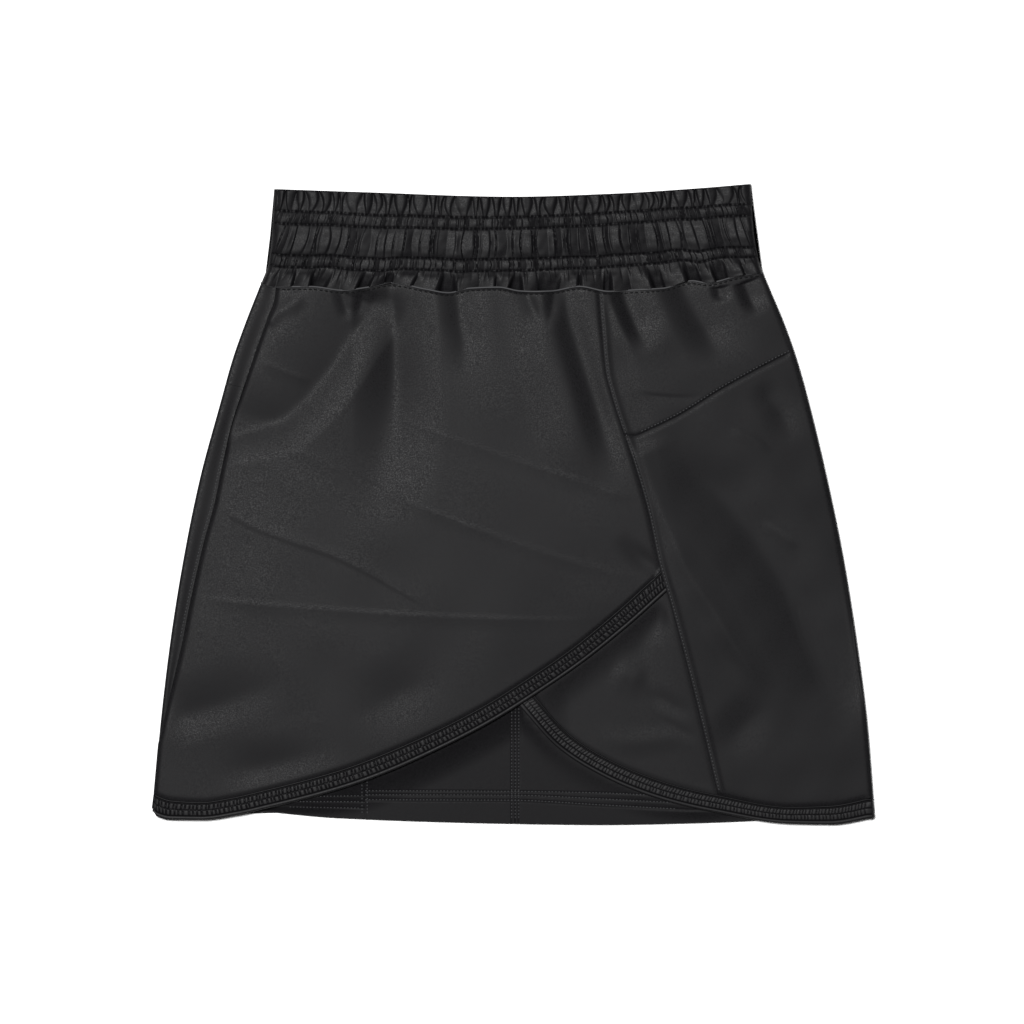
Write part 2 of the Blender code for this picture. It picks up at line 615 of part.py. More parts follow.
def under_hem_band():
    """Shirred band along the under panel and the side panel, and round the right side."""
    half, wave = BAND_WALL / 2, gather_wave(UNDER_RIBS)
    hidden = np.linspace(0, UNDER_RIBS_PLACE, HIDDEN_COLUMNS, endpoint=False)
    along = np.concatenate([hidden, np.linspace(UNDER_RIBS_PLACE, UNDER_BAND_END, len(wave))])
    plan = band_plan(UNDER_HEM, along)
    plan[:, 0, 0] = left_seam(plan[:, 0, 1]) + HALF_GAP
    plan[:, -1, 0] = fold_line(right_edge, 1, half)(plan[:, -1, 1])
    turn = followed(right_turn(half, half), plan[:, -1, 1], below(under_hem_top), under_hem_low,
                    column(HEM_ROWS, "place"))
    middle = np.concatenate([raised(plan, half + 2 * FOLD_RADIUS), turn], axis=1)
    angles = np.radians(FOLD_ANGLES + FOLD_ANGLES[-1:])
    angle = np.concatenate([np.full(len(along), np.pi), angles])
    outward = np.stack([np.sin(angle), np.zeros_like(angle), -np.cos(angle)], axis=-1)
    showing = np.concatenate([smooth((plan[0, :, 0] - BAND_SHOWS_FROM) / BAND_SHOWS_RUN),
                              np.maximum(-np.cos(angles), 0)])
    proud = shirring(np.concatenate([np.zeros(len(hidden)), wave, np.zeros(len(angles))])) * showing
    outer = middle + outward * (half + proud)[..., None]
    slab("under_hem_band", outer, middle - outward * half, BAND)


def clear_scene():
    """Empty scene with one collection for the garment."""
    for thing in list(bpy.data.objects):
        bpy.data.objects.remove(thing, do_unlink=True)
    bpy.context.scene.collection.children.link(bpy.data.collections.new(GARMENT))


def build_garment():
    """All pieces, from the surface up."""
    clear_scene()
    back_pieces()
    lining_pieces()
    front_under_panel()
    under_hem_band()
    side_pieces()
    front_wrap_panel()
    wrap_hem_band()
    waistband_back()
    waistband_front()


build_garment()
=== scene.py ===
import math

import bpy
import numpy as np
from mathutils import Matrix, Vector
from mathutils.bvhtree import BVHTree


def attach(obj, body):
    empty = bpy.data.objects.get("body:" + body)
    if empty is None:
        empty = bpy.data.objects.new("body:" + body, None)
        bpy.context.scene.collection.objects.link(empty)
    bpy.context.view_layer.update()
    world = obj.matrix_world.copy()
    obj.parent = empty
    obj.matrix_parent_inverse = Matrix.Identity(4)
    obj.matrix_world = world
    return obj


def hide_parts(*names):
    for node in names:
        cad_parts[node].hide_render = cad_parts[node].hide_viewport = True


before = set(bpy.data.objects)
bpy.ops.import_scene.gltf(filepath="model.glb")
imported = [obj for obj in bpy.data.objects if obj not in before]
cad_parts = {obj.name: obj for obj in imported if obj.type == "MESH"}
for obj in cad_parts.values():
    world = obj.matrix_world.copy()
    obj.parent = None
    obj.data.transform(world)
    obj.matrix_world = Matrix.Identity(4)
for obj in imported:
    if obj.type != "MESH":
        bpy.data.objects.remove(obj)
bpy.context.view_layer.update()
mm = 0.001
print("frame loaded:", len(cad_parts), "pieces")


# Small helpers for lines and forms. Every table below is in millimetres.

def ease(t):
    t = np.clip(t, 0, 1)
    return t * t * (3 - 2 * t)


def bell(distance, width, power=2.0):
    return np.exp(-np.abs(distance / width) ** power)


def through(points):  # smooth function through (place, value) points that doesn't overshoot them
    s, v = np.array(sorted(points), float).T
    step = np.diff(s)
    slope = np.diff(v) / step
    before, after = slope[:-1], slope[1:]
    both = before * after > 0
    mean = np.where(both, 2 * before * after / np.where(both, before + after, 1), 0)
    tangent = np.concatenate([slope[:1], mean, slope[-1:]])

    def value(at):
        at = np.clip(at, s[0], s[-1])
        i = np.clip(np.searchsorted(s, at) - 1, 0, len(step) - 1)
        t = (at - s[i]) / step[i]
        rise = v[i + 1] - v[i]
        bend = (tangent[i] + tangent[i + 1]) * step[i] - 2 * rise
        return v[i] + t * (tangent[i] * step[i] + t * (rise - tangent[i] * step[i] + (t - 1) * bend))

    return value


def shifted(line, by):
    return lambda at: line(at) + by


def straight(value):  # a line with the same value all along
    return lambda at: value + 0.0 * np.asarray(at, float)


def curveThrough(points, count):  # evenly spaced points along a smooth curve through a few
    points = np.array(points, float)
    station = np.concatenate([[0], np.cumsum(np.hypot(*np.diff(points, axis=0).T))])
    fine = np.linspace(0, station[-1], 12 * len(points))
    path = np.stack([through(list(zip(station, points[:, k])))(fine) for k in (0, 1)], axis=-1)
    length = np.concatenate([[0], np.cumsum(np.hypot(*np.diff(path, axis=0).T))])
    even = np.linspace(0, length[-1], count)
    return np.stack([np.interp(even, length, path[:, k]) for k in (0, 1)], axis=-1), length[-1]


def roughness(x, y, scale, seed):  # gentle unevenness between about -1 and 1
    dice = np.random.default_rng(seed)
    total = np.zeros(np.broadcast(x, y).shape)
    for _ in range(9):
        turn, phase = dice.uniform(0, 2 * np.pi), dice.uniform(0, 2 * np.pi)
        stretch = dice.uniform(0.6, 1.7)
        total += np.sin((x * np.cos(turn) + y * np.sin(turn)) * 2 * np.pi / (scale * stretch) + phase)
    return total / 4


# Outline, seams and layers of the garment.

garment = {
    "sides": [  # height, left, right
        (199, -148, 147.5), (169, -149.5, 149.5), (150, -151.5, 153.0), (133, -158, 159.5),
        (114, -165.5, 167.5), (90, -174, 176), (65, -181, 183), (15, -194.5, 195),
        (-34, -204.5, 205), (-84, -212.5, 213), (-134, -218.5, 219.5), (-177, -222.5, 223),
        (-199, -224.5, 224.5)],
    "waistTop": [(-149, 195.5), (-92, 193.5), (0, 190.7), (60, 192.5), (116, 196), (148, 198.7)],
    "waistSeam": [
        (-158, 138), (-148, 134.9), (-125, 134.9), (-105.5, 132.7), (-90.5, 134.5), (-75.5, 137.3),
        (-54, 133.3), (-40, 131.1), (-27, 133.9), (-9, 134.5), (4, 132.2), (13.5, 131.8), (24, 132.2),
        (41, 135), (59.5, 131.9), (72, 132.7), (93, 133.9), (111, 138.6), (120, 137.3), (141, 141.9),
        (157, 143.7)],
    "yokeSeam": [(77, 42.5), (101, 54), (130.5, 72), (160, 88), (175, 95.5)],
    "backYokeSeam": [(-178, 75), (-90, 56), (0, 49), (90, 63), (175, 95.5)],
    "princessSeam": [
        (133, 52.7), (110, 54.6), (83, 57), (65, 61.5), (27.5, 74), (-3, 83), (-37.5, 90.5),
        (-63.5, 98), (-123, 113.5), (-179, 126.7)],
    "leftStrip": [  # width of the strip of the back that shows beside the left seam
        (138, 9.5), (123, 13), (95, 13), (50, 11), (28, 12), (3, 12.8), (-23, 11), (-60, 9),
        (-84, 7.8), (-103, 5.9), (-125, 3.4), (-142, 1.0), (-150, 0), (-200, 0)],
    "wall": 0.8,
    "seamGap": 0.04,
    "leftFold": 1.4, "rightFold": 2.2,  # half the height of the turn round each side
    "rightReach": 1.1,  # how far the turn round the right side stands out
    "rightReturn": 8.0,  # how far the cloth runs on below the right side
    "levels": {"lining": 1.4, "under": 4.4, "notch": 6.6, "atWaist": 8.7, "bandWall": 0.6},
    "leftLevel": [  # height of the front beside the left seam
        (-200, 3.5), (-150, 4.0), (-100, 4.7), (-40, 5.4), (30, 5.8), (100, 5.8), (140, 5.4)],
    "front": [  # height of the front beside the princess seam
        (-200, 5.0), (-150, 5.6), (-100, 7.0), (-50, 8.5), (0, 9.0), (60, 9.1), (145, 8.9)],
    "plateau": 9.0, "lowest": 3.9,
}

sides = garment["sides"]
leftEdge = through([(y, left) for y, left, right in sides])
rightEdge = through([(y, right) for y, left, right in sides])
waistTop, waistSeam = through(garment["waistTop"]), through(garment["waistSeam"])
yokeSeam, backYokeSeam = through(garment["yokeSeam"]), through(garment["backYokeSeam"])
princessSeam = through(garment["princessSeam"])
stripWidth, frontLevel = through(garment["leftStrip"]), through(garment["front"])
leftLevel = through(garment["leftLevel"])
wall, seamGap, levels = garment["wall"], garment["seamGap"], garment["levels"]


def leftSeam(y):
    return leftEdge(y) + stripWidth(y)


def meet(line, edge):  # height at which a line across meets an edge that runs down
    y = 0.0
    for _ in range(40):
        y = float(line(edge(y)))
    return y


def panelPlan(upper, lower, left, right, u, v):  # flat plan of a panel between four lines
    leftY = [meet(line, left) for line in (upper, lower)]
    rightY = [meet(line, right) for line in (upper, lower)]
    a, b = u[:, None], v[:, None]

    def across(line, start, end):
        x = start + (end - start) * u
        return np.stack([x, line(x)], axis=-1)

    def down(edge, start, end):
        y = start + (end - start) * v
        return np.stack([edge(y), y], axis=-1)

    top, low = [across(line, left(y1), right(y2)) for line, y1, y2 in zip((upper, lower), leftY, rightY)]
    near, far = down(left, *leftY), down(right, *rightY)
    rows = (1 - b)[..., None] * top + b[..., None] * low
    edges = (1 - a) * near[:, None] + a * far[:, None]
    topEnds, lowEnds = [(1 - a) * line[0] + a * line[-1] for line in (top, low)]
    corners = (1 - b)[..., None] * topEnds + b[..., None] * lowEnds
    return rows + edges - corners


def raised(plan, height):
    return np.concatenate([plan, np.broadcast_to(height, plan.shape[:2])[..., None]], axis=-1)


def creased(x, y, creases):
    # A crease is: points along it, height, width of its face on the left hand and on the right,
    # radius of its crest, power of its faces (1 straight, 2 hollow), and the shares of its length
    # over which it fades in and out.
    total = np.zeros_like(x)
    for points, height, leftHand, rightHand, radius, power, fadeIn, fadeOut in creases:
        path, length = curveThrough(points, 40)
        reach = max(leftHand, rightHand) + radius
        low, high = path.min(0) - reach, path.max(0) + reach
        near = (x > low[0]) & (x < high[0]) & (y > low[1]) & (y < high[1])
        if not near.any():
            continue
        px, py = x[near], y[near]
        ax, ay = path[:-1, 0], path[:-1, 1]
        dx, dy = np.diff(path[:, 0]), np.diff(path[:, 1])
        along = np.clip(((px[:, None] - ax) * dx + (py[:, None] - ay) * dy) / (dx * dx + dy * dy), 0, 1)
        gapX, gapY = px[:, None] - ax - along * dx, py[:, None] - ay - along * dy
        i = np.argmin(gapX ** 2 + gapY ** 2, axis=1)
        k = np.arange(len(i))
        away = np.hypot(np.hypot(gapX[k, i], gapY[k, i]), radius) - radius
        onLeft = dx[i] * gapY[k, i] - dy[i] * gapX[k, i] > 0
        place = (i + along[k, i]) / (len(path) - 1)
        fade = ease(place / max(fadeIn, 1e-3)) * ease((1 - place) / max(fadeOut, 1e-3))
        face = np.clip(1 - away / np.where(onLeft, leftHand, rightHand), 0, 1)
        total[near] += height * fade * face ** power
    return total


# Meshes.

def addMesh(name, points, faces, material, slot, nodes=(), smooth=50):
    mesh = bpy.data.meshes.new(name)
    mesh.from_pydata((np.reshape(points, (-1, 3)) * mm).tolist(), [], faces)
    mesh.shade_smooth()
    mesh.set_sharp_from_angle(angle=math.radians(smooth))
    mesh.materials.append(material)
    piece = bpy.data.objects.new(name, mesh)
    bpy.context.scene.collection.objects.link(piece)
    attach(piece, "root")
    if nodes:
        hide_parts(*nodes)
    return piece


def gridFaces(rows, columns):
    return [(r * columns + c, (r + 1) * columns + c, (r + 1) * columns + c + 1, r * columns + c + 1)
            for r in range(rows - 1) for c in range(columns - 1)]


def edged(grid, gap=0.05):  # a narrow row inside each edge keeps the shading of the cut edge off the cloth
    for axis in (0, 1):
        lines = np.moveaxis(grid, axis, 0)
        inner = []
        for edge, beside in ((lines[0], lines[1]), (lines[-1], lines[-2])):
            step = np.linalg.norm(beside - edge, axis=-1, keepdims=True)
            inner.append(edge + (beside - edge) * np.minimum(gap / np.maximum(step, 1e-6), 0.5))
        joined = np.concatenate([lines[:1], inner[:1], lines[1:-1], inner[1:], lines[-1:]])
        grid = np.moveaxis(joined, 0, axis)
    return grid


def clothPiece(name, node, grid, material, slot, thickness=wall):
    grid = edged(grid)
    rows, columns = grid.shape[:2]
    piece = addMesh(name, grid, gridFaces(rows, columns), material, slot, [node])
    thick = piece.modifiers.new("wall", "SOLIDIFY")
    thick.thickness, thick.offset, thick.use_even_offset = thickness * mm, 0.0, False
    return piece


def wrappedPiece(name, loops, material, slot, nodes=()):
    # Closed band from its cross-sections: loops[column, place round the section] as points.
    columns, around = loops.shape[:2]
    faces = [(c * around + k, c * around + (k + 1) % around,
              (c + 1) * around + (k + 1) % around, (c + 1) * around + k)
             for c in range(columns - 1) for k in range(around)]
    faces.append(tuple(range(around - 1, -1, -1)))
    faces.append(tuple((columns - 1) * around + k for k in range(around)))
    return addMesh(name, loops, faces, material, slot, nodes)


# Materials. The weave and the tone of the cloth are groups that every cloth shares.

grain = {  # scale and detail of each noise, per metre, and how much of it reaches the roughness
    "slub": (900, 2), "drift": (14, 3), "lint": (1500, 1),
    "driftToGloss": 0.12, "lintToGloss": 0.4, "sheenRoughness": 0.4, "weaveStrength": 0.5,
}


def socket(group, name, kind, into, default=None):
    made = group.interface.new_socket(name=name, in_out="INPUT" if into else "OUTPUT", socket_type=kind)
    if default is not None:
        made.default_value = default
    return made


def mathNode(group, operation, a, b=None, clamp=False):
    node = group.nodes.new("ShaderNodeMath")
    node.operation, node.use_clamp = operation, clamp
    for k, value in enumerate((a, b)):
        if isinstance(value, (int, float)):
            node.inputs[k].default_value = value
        elif value is not None:
            group.links.new(value, node.inputs[k])
    return node.outputs[0]


def makeWeaveGroup():  # plain woven cloth: two sets of threads that pass over each other
    group = bpy.data.node_groups.new("weave", "ShaderNodeTree")
    socket(group, "Threads per mm", "NodeSocketFloat", True, 2.2)
    socket(group, "Unevenness", "NodeSocketFloat", True, 0.3)
    socket(group, "Height", "NodeSocketFloat", False)
    inside, outside = group.nodes.new("NodeGroupInput"), group.nodes.new("NodeGroupOutput")
    place = group.nodes.new("ShaderNodeTexCoord")
    split = group.nodes.new("ShaderNodeSeparateXYZ")
    group.links.new(place.outputs["Object"], split.inputs[0])
    rate = mathNode(group, "MULTIPLY", inside.outputs["Threads per mm"], 1000 * math.pi)
    warp = mathNode(group, "SINE", mathNode(group, "MULTIPLY", split.outputs["X"], rate))
    weft = mathNode(group, "SINE", mathNode(group, "MULTIPLY", split.outputs["Y"], rate))
    over = mathNode(group, "MULTIPLY", warp, weft)
    slub = group.nodes.new("ShaderNodeTexNoise")
    slub.inputs["Scale"].default_value = grain["slub"][0]
    slub.inputs["Detail"].default_value = grain["slub"][1]
    group.links.new(place.outputs["Object"], slub.inputs["Vector"])
    loose = mathNode(group, "MULTIPLY", slub.outputs["Fac"], inside.outputs["Unevenness"])
    total = mathNode(group, "ADD", mathNode(group, "MULTIPLY", over, 0.5), loose)
    group.links.new(total, outside.inputs["Height"])
    return group


def makeToneGroup():  # colour and roughness that drift over the cloth, with a little lint
    group = bpy.data.node_groups.new("clothTone", "ShaderNodeTree")
    socket(group, "Cloth", "NodeSocketColor", True, (0.02, 0.02, 0.022, 1))
    socket(group, "Drift", "NodeSocketFloat", True, 0.2)
    socket(group, "Lint", "NodeSocketFloat", True, 0.1)
    socket(group, "Roughness", "NodeSocketFloat", True, 0.6)
    socket(group, "Colour", "NodeSocketColor", False)
    socket(group, "Gloss", "NodeSocketFloat", False)
    inside, outside = group.nodes.new("NodeGroupInput"), group.nodes.new("NodeGroupOutput")
    place = group.nodes.new("ShaderNodeTexCoord")
    broad, fine = group.nodes.new("ShaderNodeTexNoise"), group.nodes.new("ShaderNodeTexNoise")
    for noise, (scale, detail) in ((broad, grain["drift"]), (fine, grain["lint"])):
        noise.inputs["Scale"].default_value = scale
        noise.inputs["Detail"].default_value = detail
        group.links.new(place.outputs["Object"], noise.inputs["Vector"])

    def swing(noise, strength):  # noise about zero, as strong as the named input says
        centred = mathNode(group, "SUBTRACT", noise.outputs["Fac"], 0.5)
        return mathNode(group, "MULTIPLY", centred, inside.outputs[strength])

    drift, speck = swing(broad, "Drift"), swing(fine, "Lint")
    shade = mathNode(group, "ADD", mathNode(group, "ADD", drift, speck), 1.0)
    scaled = group.nodes.new("ShaderNodeVectorMath")
    scaled.operation = "SCALE"
    group.links.new(inside.outputs["Cloth"], scaled.inputs[0])
    group.links.new(shade, scaled.inputs["Scale"])
    group.links.new(scaled.outputs[0], outside.inputs["Colour"])
    loose = mathNode(group, "ADD", mathNode(group, "MULTIPLY", drift, grain["driftToGloss"]),
                     mathNode(group, "MULTIPLY", speck, grain["lintToGloss"]))
    gloss = mathNode(group, "ADD", inside.outputs["Roughness"], loose, True)
    group.links.new(gloss, outside.inputs["Gloss"])
    return group


weaveGroup, toneGroup = makeWeaveGroup(), makeToneGroup()

finishes = {  # colour, roughness, specular level, sheen, drift, lint, threads per mm, weave depth in mm
    "shellCloth": dict(cloth=(0.0052, 0.0050, 0.0056), rough=0.50, shine=0.070, sheen=0.02,
                       drift=0.25, lint=1.5, threads=2.2, depth=0.02),
    "gatheredCloth": dict(cloth=(0.0046, 0.0044, 0.0050), rough=0.50, shine=0.084, sheen=0.0,
                          drift=0.2, lint=1.1, threads=2.2, depth=0.02),
    "shirredBand": dict(cloth=(0.0046, 0.0044, 0.0050), rough=0.50, shine=0.105, sheen=0.0,
                        drift=0.2, lint=0.8, threads=2.8, depth=0.015),
    "liningKnit": dict(cloth=(0.0054, 0.0052, 0.0058), rough=0.54, shine=0.052, sheen=0.0,
                       drift=0.15, lint=1.3, threads=3.0, depth=0.02),
    # the piping is the same black cloth; its lighter colour is painted highlight along its top
    "pipingPaintedHighlight": dict(cloth=(0.042, 0.042, 0.044), rough=0.54, shine=0.10, sheen=0.0,
                        drift=0.1, lint=0.2, threads=3.0, depth=0.01),
    # black thread; its lighter colour is painted highlight on the tops of the stitches
    "threadPaintedHighlight": dict(cloth=(0.034, 0.034, 0.036), rough=0.54, shine=0.10, sheen=0.0,
                         drift=0.1, lint=0.2, threads=4.0, depth=0.01),
    "thread": dict(cloth=(0.006, 0.006, 0.0064), rough=0.54, shine=0.03, sheen=0.0,
                   drift=0.1, lint=0.2, threads=4.0, depth=0.01),
}


def clothMaterial(name):
    look = finishes[name]
    material = bpy.data.materials.new(name)
    material.use_nodes = True
    tree = material.node_tree
    shader = tree.nodes["Principled BSDF"]
    shader.inputs["Sheen Weight"].default_value = look["sheen"]
    shader.inputs["Sheen Roughness"].default_value = grain["sheenRoughness"]
    shader.inputs["Specular IOR Level"].default_value = look["shine"]
    weave, tone = tree.nodes.new("ShaderNodeGroup"), tree.nodes.new("ShaderNodeGroup")
    weave.node_tree, tone.node_tree = weaveGroup, toneGroup
    weave.inputs["Threads per mm"].default_value = look["threads"]
    tone.inputs["Cloth"].default_value = (*look["cloth"], 1)
    tone.inputs["Drift"].default_value = look["drift"]
    tone.inputs["Lint"].default_value = look["lint"]
    tone.inputs["Roughness"].default_value = look["rough"]
    bump = tree.nodes.new("ShaderNodeBump")
    bump.inputs["Strength"].default_value = grain["weaveStrength"]
    bump.inputs["Distance"].default_value = look["depth"] * mm
    tree.links.new(tone.outputs["Colour"], shader.inputs["Base Color"])
    tree.links.new(tone.outputs["Gloss"], shader.inputs["Roughness"])
    tree.links.new(weave.outputs["Height"], bump.inputs["Height"])
    tree.links.new(bump.outputs["Normal"], shader.inputs["Normal"])
    return material


materials = {name: clothMaterial(name) for name in finishes}
print("materials made:", len(materials))


# Hem bands.

wrapHem = {
    "pairs": [  # points on the upper and on the lower edge, from left to right
        (-222.8, -178.8, -224, -188), (-220.7, -180.3, -220.7, -193.4), (-211.5, -183.3, -212.5, -195.4),
        (-193.5, -184.3, -193, -195.5), (-173.5, -181.4, -171.5, -192.5), (-154, -176.8, -151.5, -188),
        (-125, -169.5, -122, -180.7), (-103, -163, -99.5, -174), (-82.5, -155.3, -77.5, -166),
        (-51.5, -141.8, -46.5, -152), (-20.5, -126, -14.3, -135.3), (10.5, -106.8, 17.4, -115.6),
        (36.2, -89.3, 43.4, -97.7), (62.8, -67.6, 71.3, -75.3), (92, -41, 95.2, -54)],
    "ribs": (146, 134),  # in the upper row and in the lower row
    "depth": 0.95, "roundness": 4.5, "seed": 4,
    "columns": 1060, "above": 0.55, "below": 0.5,  # of the cloth's middle
}
underHem = {
    "pairs": [
        (-194, -25, -197, -37.5), (-132, -30, -134, -42.5), (-70, -45.5, -75, -57.5),
        (-26.5, -73, -35, -82.5), (1, -102, -9, -109), (15.5, -121, 6.5, -127.5),
        (36, -143.2, 27.5, -150.5), (54, -155, 46.5, -163.5), (77.5, -166, 72, -176),
        (103.5, -174.8, 99, -185), (126.7, -180, 123.5, -190.5), (172, -187.3, 171, -197.8),
        (197, -186.5, 197, -198.3), (223, -181.5, 224, -194)],
    "ribs": (232, 216),
    "depth": 0.45, "roundness": 3.0, "seed": 9,
    "hiddenColumns": 30, "columns": 1000,
    "shownFrom": 0.46, "turnsAt": 0.9915, "turned": (0.9925, 0.9999),  # shares of its length
}
backHem = {
    "upper": [(-223, -180), (-180, -181), (-132, -179.5), (-70, -182), (0, -184.5), (116, -183.5),
              (178, -184.5), (223, -181)],
    "lower": [(-223.5, -190.5), (-180, -192), (-132, -191), (-70, -193), (0, -196), (116, -195.5),
              (178, -195.5), (223, -192.5)],
}

wrapHemTop = through([(a, b) for a, b, c, d in wrapHem["pairs"]])
wrapHemLow = through([(c, d) for a, b, c, d in wrapHem["pairs"]])
underHemTop = through([(a, b) for a, b, c, d in underHem["pairs"]])
underHemLow = through([(c, d) for a, b, c, d in underHem["pairs"]])
backHemTop, backHemLow = through(backHem["upper"]), through(backHem["lower"])


def underBandLevel(x):  # highest where it crosses the notch of the wrap
    top = levels["bandWall"] + 2 * garment["rightFold"]
    hill = ease((x + 70) / 50) * (1 - ease((x - 6) / 30))
    level = levels["under"] + (levels["notch"] - levels["under"]) * hill
    return level + (top - levels["under"]) * ease((x - 60) / 120)


# Form across a hem band, from its upper to its lower edge: place and rise in mm.
bandSection = [(0.0, -0.3), (0.012, 0.25), (0.045, 0.42), (0.075, 0.3), (0.09, -0.1), (0.105, -0.75),
               (0.13, -0.75), (0.15, 0.0), (0.175, 0.28), (0.25, 0.34), (0.36, 0.34), (0.43, 0.3),
               (0.45, 0.15), (0.467, -0.1), (0.485, 0.15), (0.505, 0.3), (0.6, 0.34), (0.7, 0.32),
               (0.755, 0.26), (0.77, 0.0), (0.785, -0.45), (0.805, 0.05), (0.84, 0.28), (0.9, 0.36),
               (0.95, 0.28), (0.98, 0.0), (1.0, -0.4)]
bandRows = np.array([
    0, .008, .025, .05, .07, .085, .1, .115, .13, .145, .16, .18, .21, .25, .3, .35, .39, .42, .44, .455,
    .47, .485, .505, .54, .59, .64, .69, .72, .745, .765, .785, .805, .825, .86, .9, .94, .97, .99, 1.0])


def bandEdges(hem, along):
    a, b, c, d = np.array(hem["pairs"]).T
    step = np.hypot(np.diff(a), np.diff(b))
    station = np.concatenate([[0], np.cumsum(step)]) / step.sum()
    topX, lowX = through(list(zip(station, a)))(along), through(list(zip(station, c)))(along)
    top = np.stack([topX, through(list(zip(a, b)))(topX)], axis=-1)
    low = np.stack([lowX, through(list(zip(c, d)))(lowX)], axis=-1)
    return top, low


def bandPlan(hem, along, rows=bandRows):
    top, low = bandEdges(hem, along)
    return top + (low - top) * rows[:, None, None]


def ribWave(along, count, seed, roundness):  # uneven ribs with narrow hollows between them
    dice = np.random.default_rng(seed)
    places = np.arange(count + 2) - 0.5 + dice.uniform(-0.22, 0.22, count + 2)
    order = np.interp(along * count, np.sort(places), np.arange(count + 2))
    height = 0.8 + 0.2 * np.sin(2.1 * np.floor(order)) * np.sin(0.37 * np.floor(order))
    return height * (1 - np.abs(2 * (order % 1) - 1) ** roundness)


def bandRelief(hem, along):  # rise of a band's rows over its wall, with its shirring
    rise = through(bandSection)(bandRows)[:, None] * np.ones_like(along)
    v = bandRows[:, None]
    firstRow = ease((v - 0.14) / 0.03) * ease((0.465 - v) / 0.03)
    secondRow = ease((v - 0.47) / 0.03) * ease((0.785 - v) / 0.03)
    lean = 0.004 * (v - 0.3)
    depth, roundness = hem["depth"], hem["roundness"]
    first = ribWave(along + lean, hem["ribs"][0], hem["seed"], roundness)
    second = ribWave(along - 0.5 * lean, hem["ribs"][1], hem["seed"] + 1, roundness)
    return rise + depth * (firstRow * (first - 0.75) + secondRow * (second - 0.75))


# Wrap panel, the upper of the two front panels.

wrapPanel = {
    "columns": 204, "rows": 212,
    "cornerDrop": 3.6,  # how much lower it lies at the left corner of its hem
    "besideSeam": 75,  # width over which it climbs from the left seam
    "creases": [
        # gathers that run down from the waist seam
        ([(-84, 137), (-88, 124.3), (-92, 117.5), (-102.6, 101.4), (-112.2, 85.9), (-120.5, 75.3),
          (-130.2, 63.9), (-146, 52), (-172, 47), (-200, 42)],
         -3.5, 20, 36, 2.5, 1.4, 0.1, 0.05),
        ([(-107, 134), (-104.5, 124), (-100.4, 114)], -0.9, 6, 6, 1.5, 1.8, 0.02, 0.4),
        ([(-93, 133), (-95.5, 122), (-99.6, 114)], -0.7, 5, 5, 1.5, 1.8, 0.02, 0.4),
        ([(-76.5, 137.9), (-73.8, 108.2), (-72.8, 64.8), (-74.4, 2.8)],
         -4.0, 26, 24, 2.5, 1.4, 0.01, 0.7),
        ([(-76, 105), (-79, 60), (-86, 10), (-96, -24)], -2.2, 34, 50, 6, 1.4, 0.45, 0.5),
        ([(-35, 136.7), (-33.5, 124), (-32.5, 114.4), (-30, 99), (-30, 72)], -2.0, 18, 13, 3, 1.8, 0.01, 0.7),
        ([(7, 137), (9.4, 128.7), (14.9, 114.6), (18.4, 105)], -1.2, 7, 10, 1.5, 1.8, 0.01, 0.5),
        ([(25.5, 137), (24.5, 128.7), (22.4, 114.6), (18.4, 106)], -0.9, 6, 6, 1.5, 1.8, 0.01, 0.5),
        ([(30, 137), (33.5, 117.5), (38, 102), (45, 80.3), (52, 58.6), (59, 33.8), (67, 8)],
         -2.0, 14, 18, 3, 1.7, 0.01, 0.45),
        ([(20, 137), (22, 117.5), (26, 102), (32, 80.3), (38, 58.6), (45, 33.8), (53, 8)],
         1.5, 14, 26, 5, 1.7, 0.05, 0.45),
        ([(-153, 112), (-147, 118), (-138, 123.5), (-128, 131)], 0.8, 7, 7, 1.5, 1.8, 0.1, 0.3),
        # creases pressed into the cloth while it was packed
        ([(-158, 90), (-124, 76)], 0.25, 1.8, 8, 0.5, 1.8, 0.2, 0.3),
        ([(-146, 40), (-103, 20), (-72, 5), (4, -24), (34, -34), (68, -44), (84, -48)],
         0.24, 1.6, 9, 0.4, 1.8, 0.1, 0.2),
        ([(-74, 54), (4, 27), (77, 3)], 0.22, 1.6, 9, 0.4, 1.8, 0.2, 0.1),
        ([(-183, -2), (-159, -15), (-107, -34), (-50, -65)], 0.24, 8, 1.6, 0.4, 1.8, 0.1, 0.15),
        ([(-198, -57), (-150, -62), (-20, -70), (33, -71), (62, -68)], 0.22, 1.6, 9, 0.4, 1.8, 0.1, 0.3),
        # hollows near the hem
        ([(-218, -136), (-190, -127), (-165, -118), (-130, -100)], -1.3, 24, 15, 5, 1.8, 0.2, 0.7),
        ([(-190, -168), (-160, -164), (-135, -158), (-100, -149)], -1.0, 18, 14, 5, 1.8, 0.4, 0.5),
        ([(-110, -139), (-75, -120), (-35, -101)], -1.0, 24, 20, 6, 1.8, 0.5, 0.5),
        ([(64, -18), (71, -26), (80, -34), (91, -41)], -1.1, 8, 9, 3, 1.8, 0.7, 0.03),
    ],
}


def dome(inside, run):  # rises quickly from an edge and levels off
    t = np.clip(inside / run, 0, 1)
    return 1 - (1 - t) ** 2.2


def keptAbove(height, least):  # no fold sinks into the cloth below
    return np.maximum(height, least) + 0.15 * bell(height - least, 0.3)


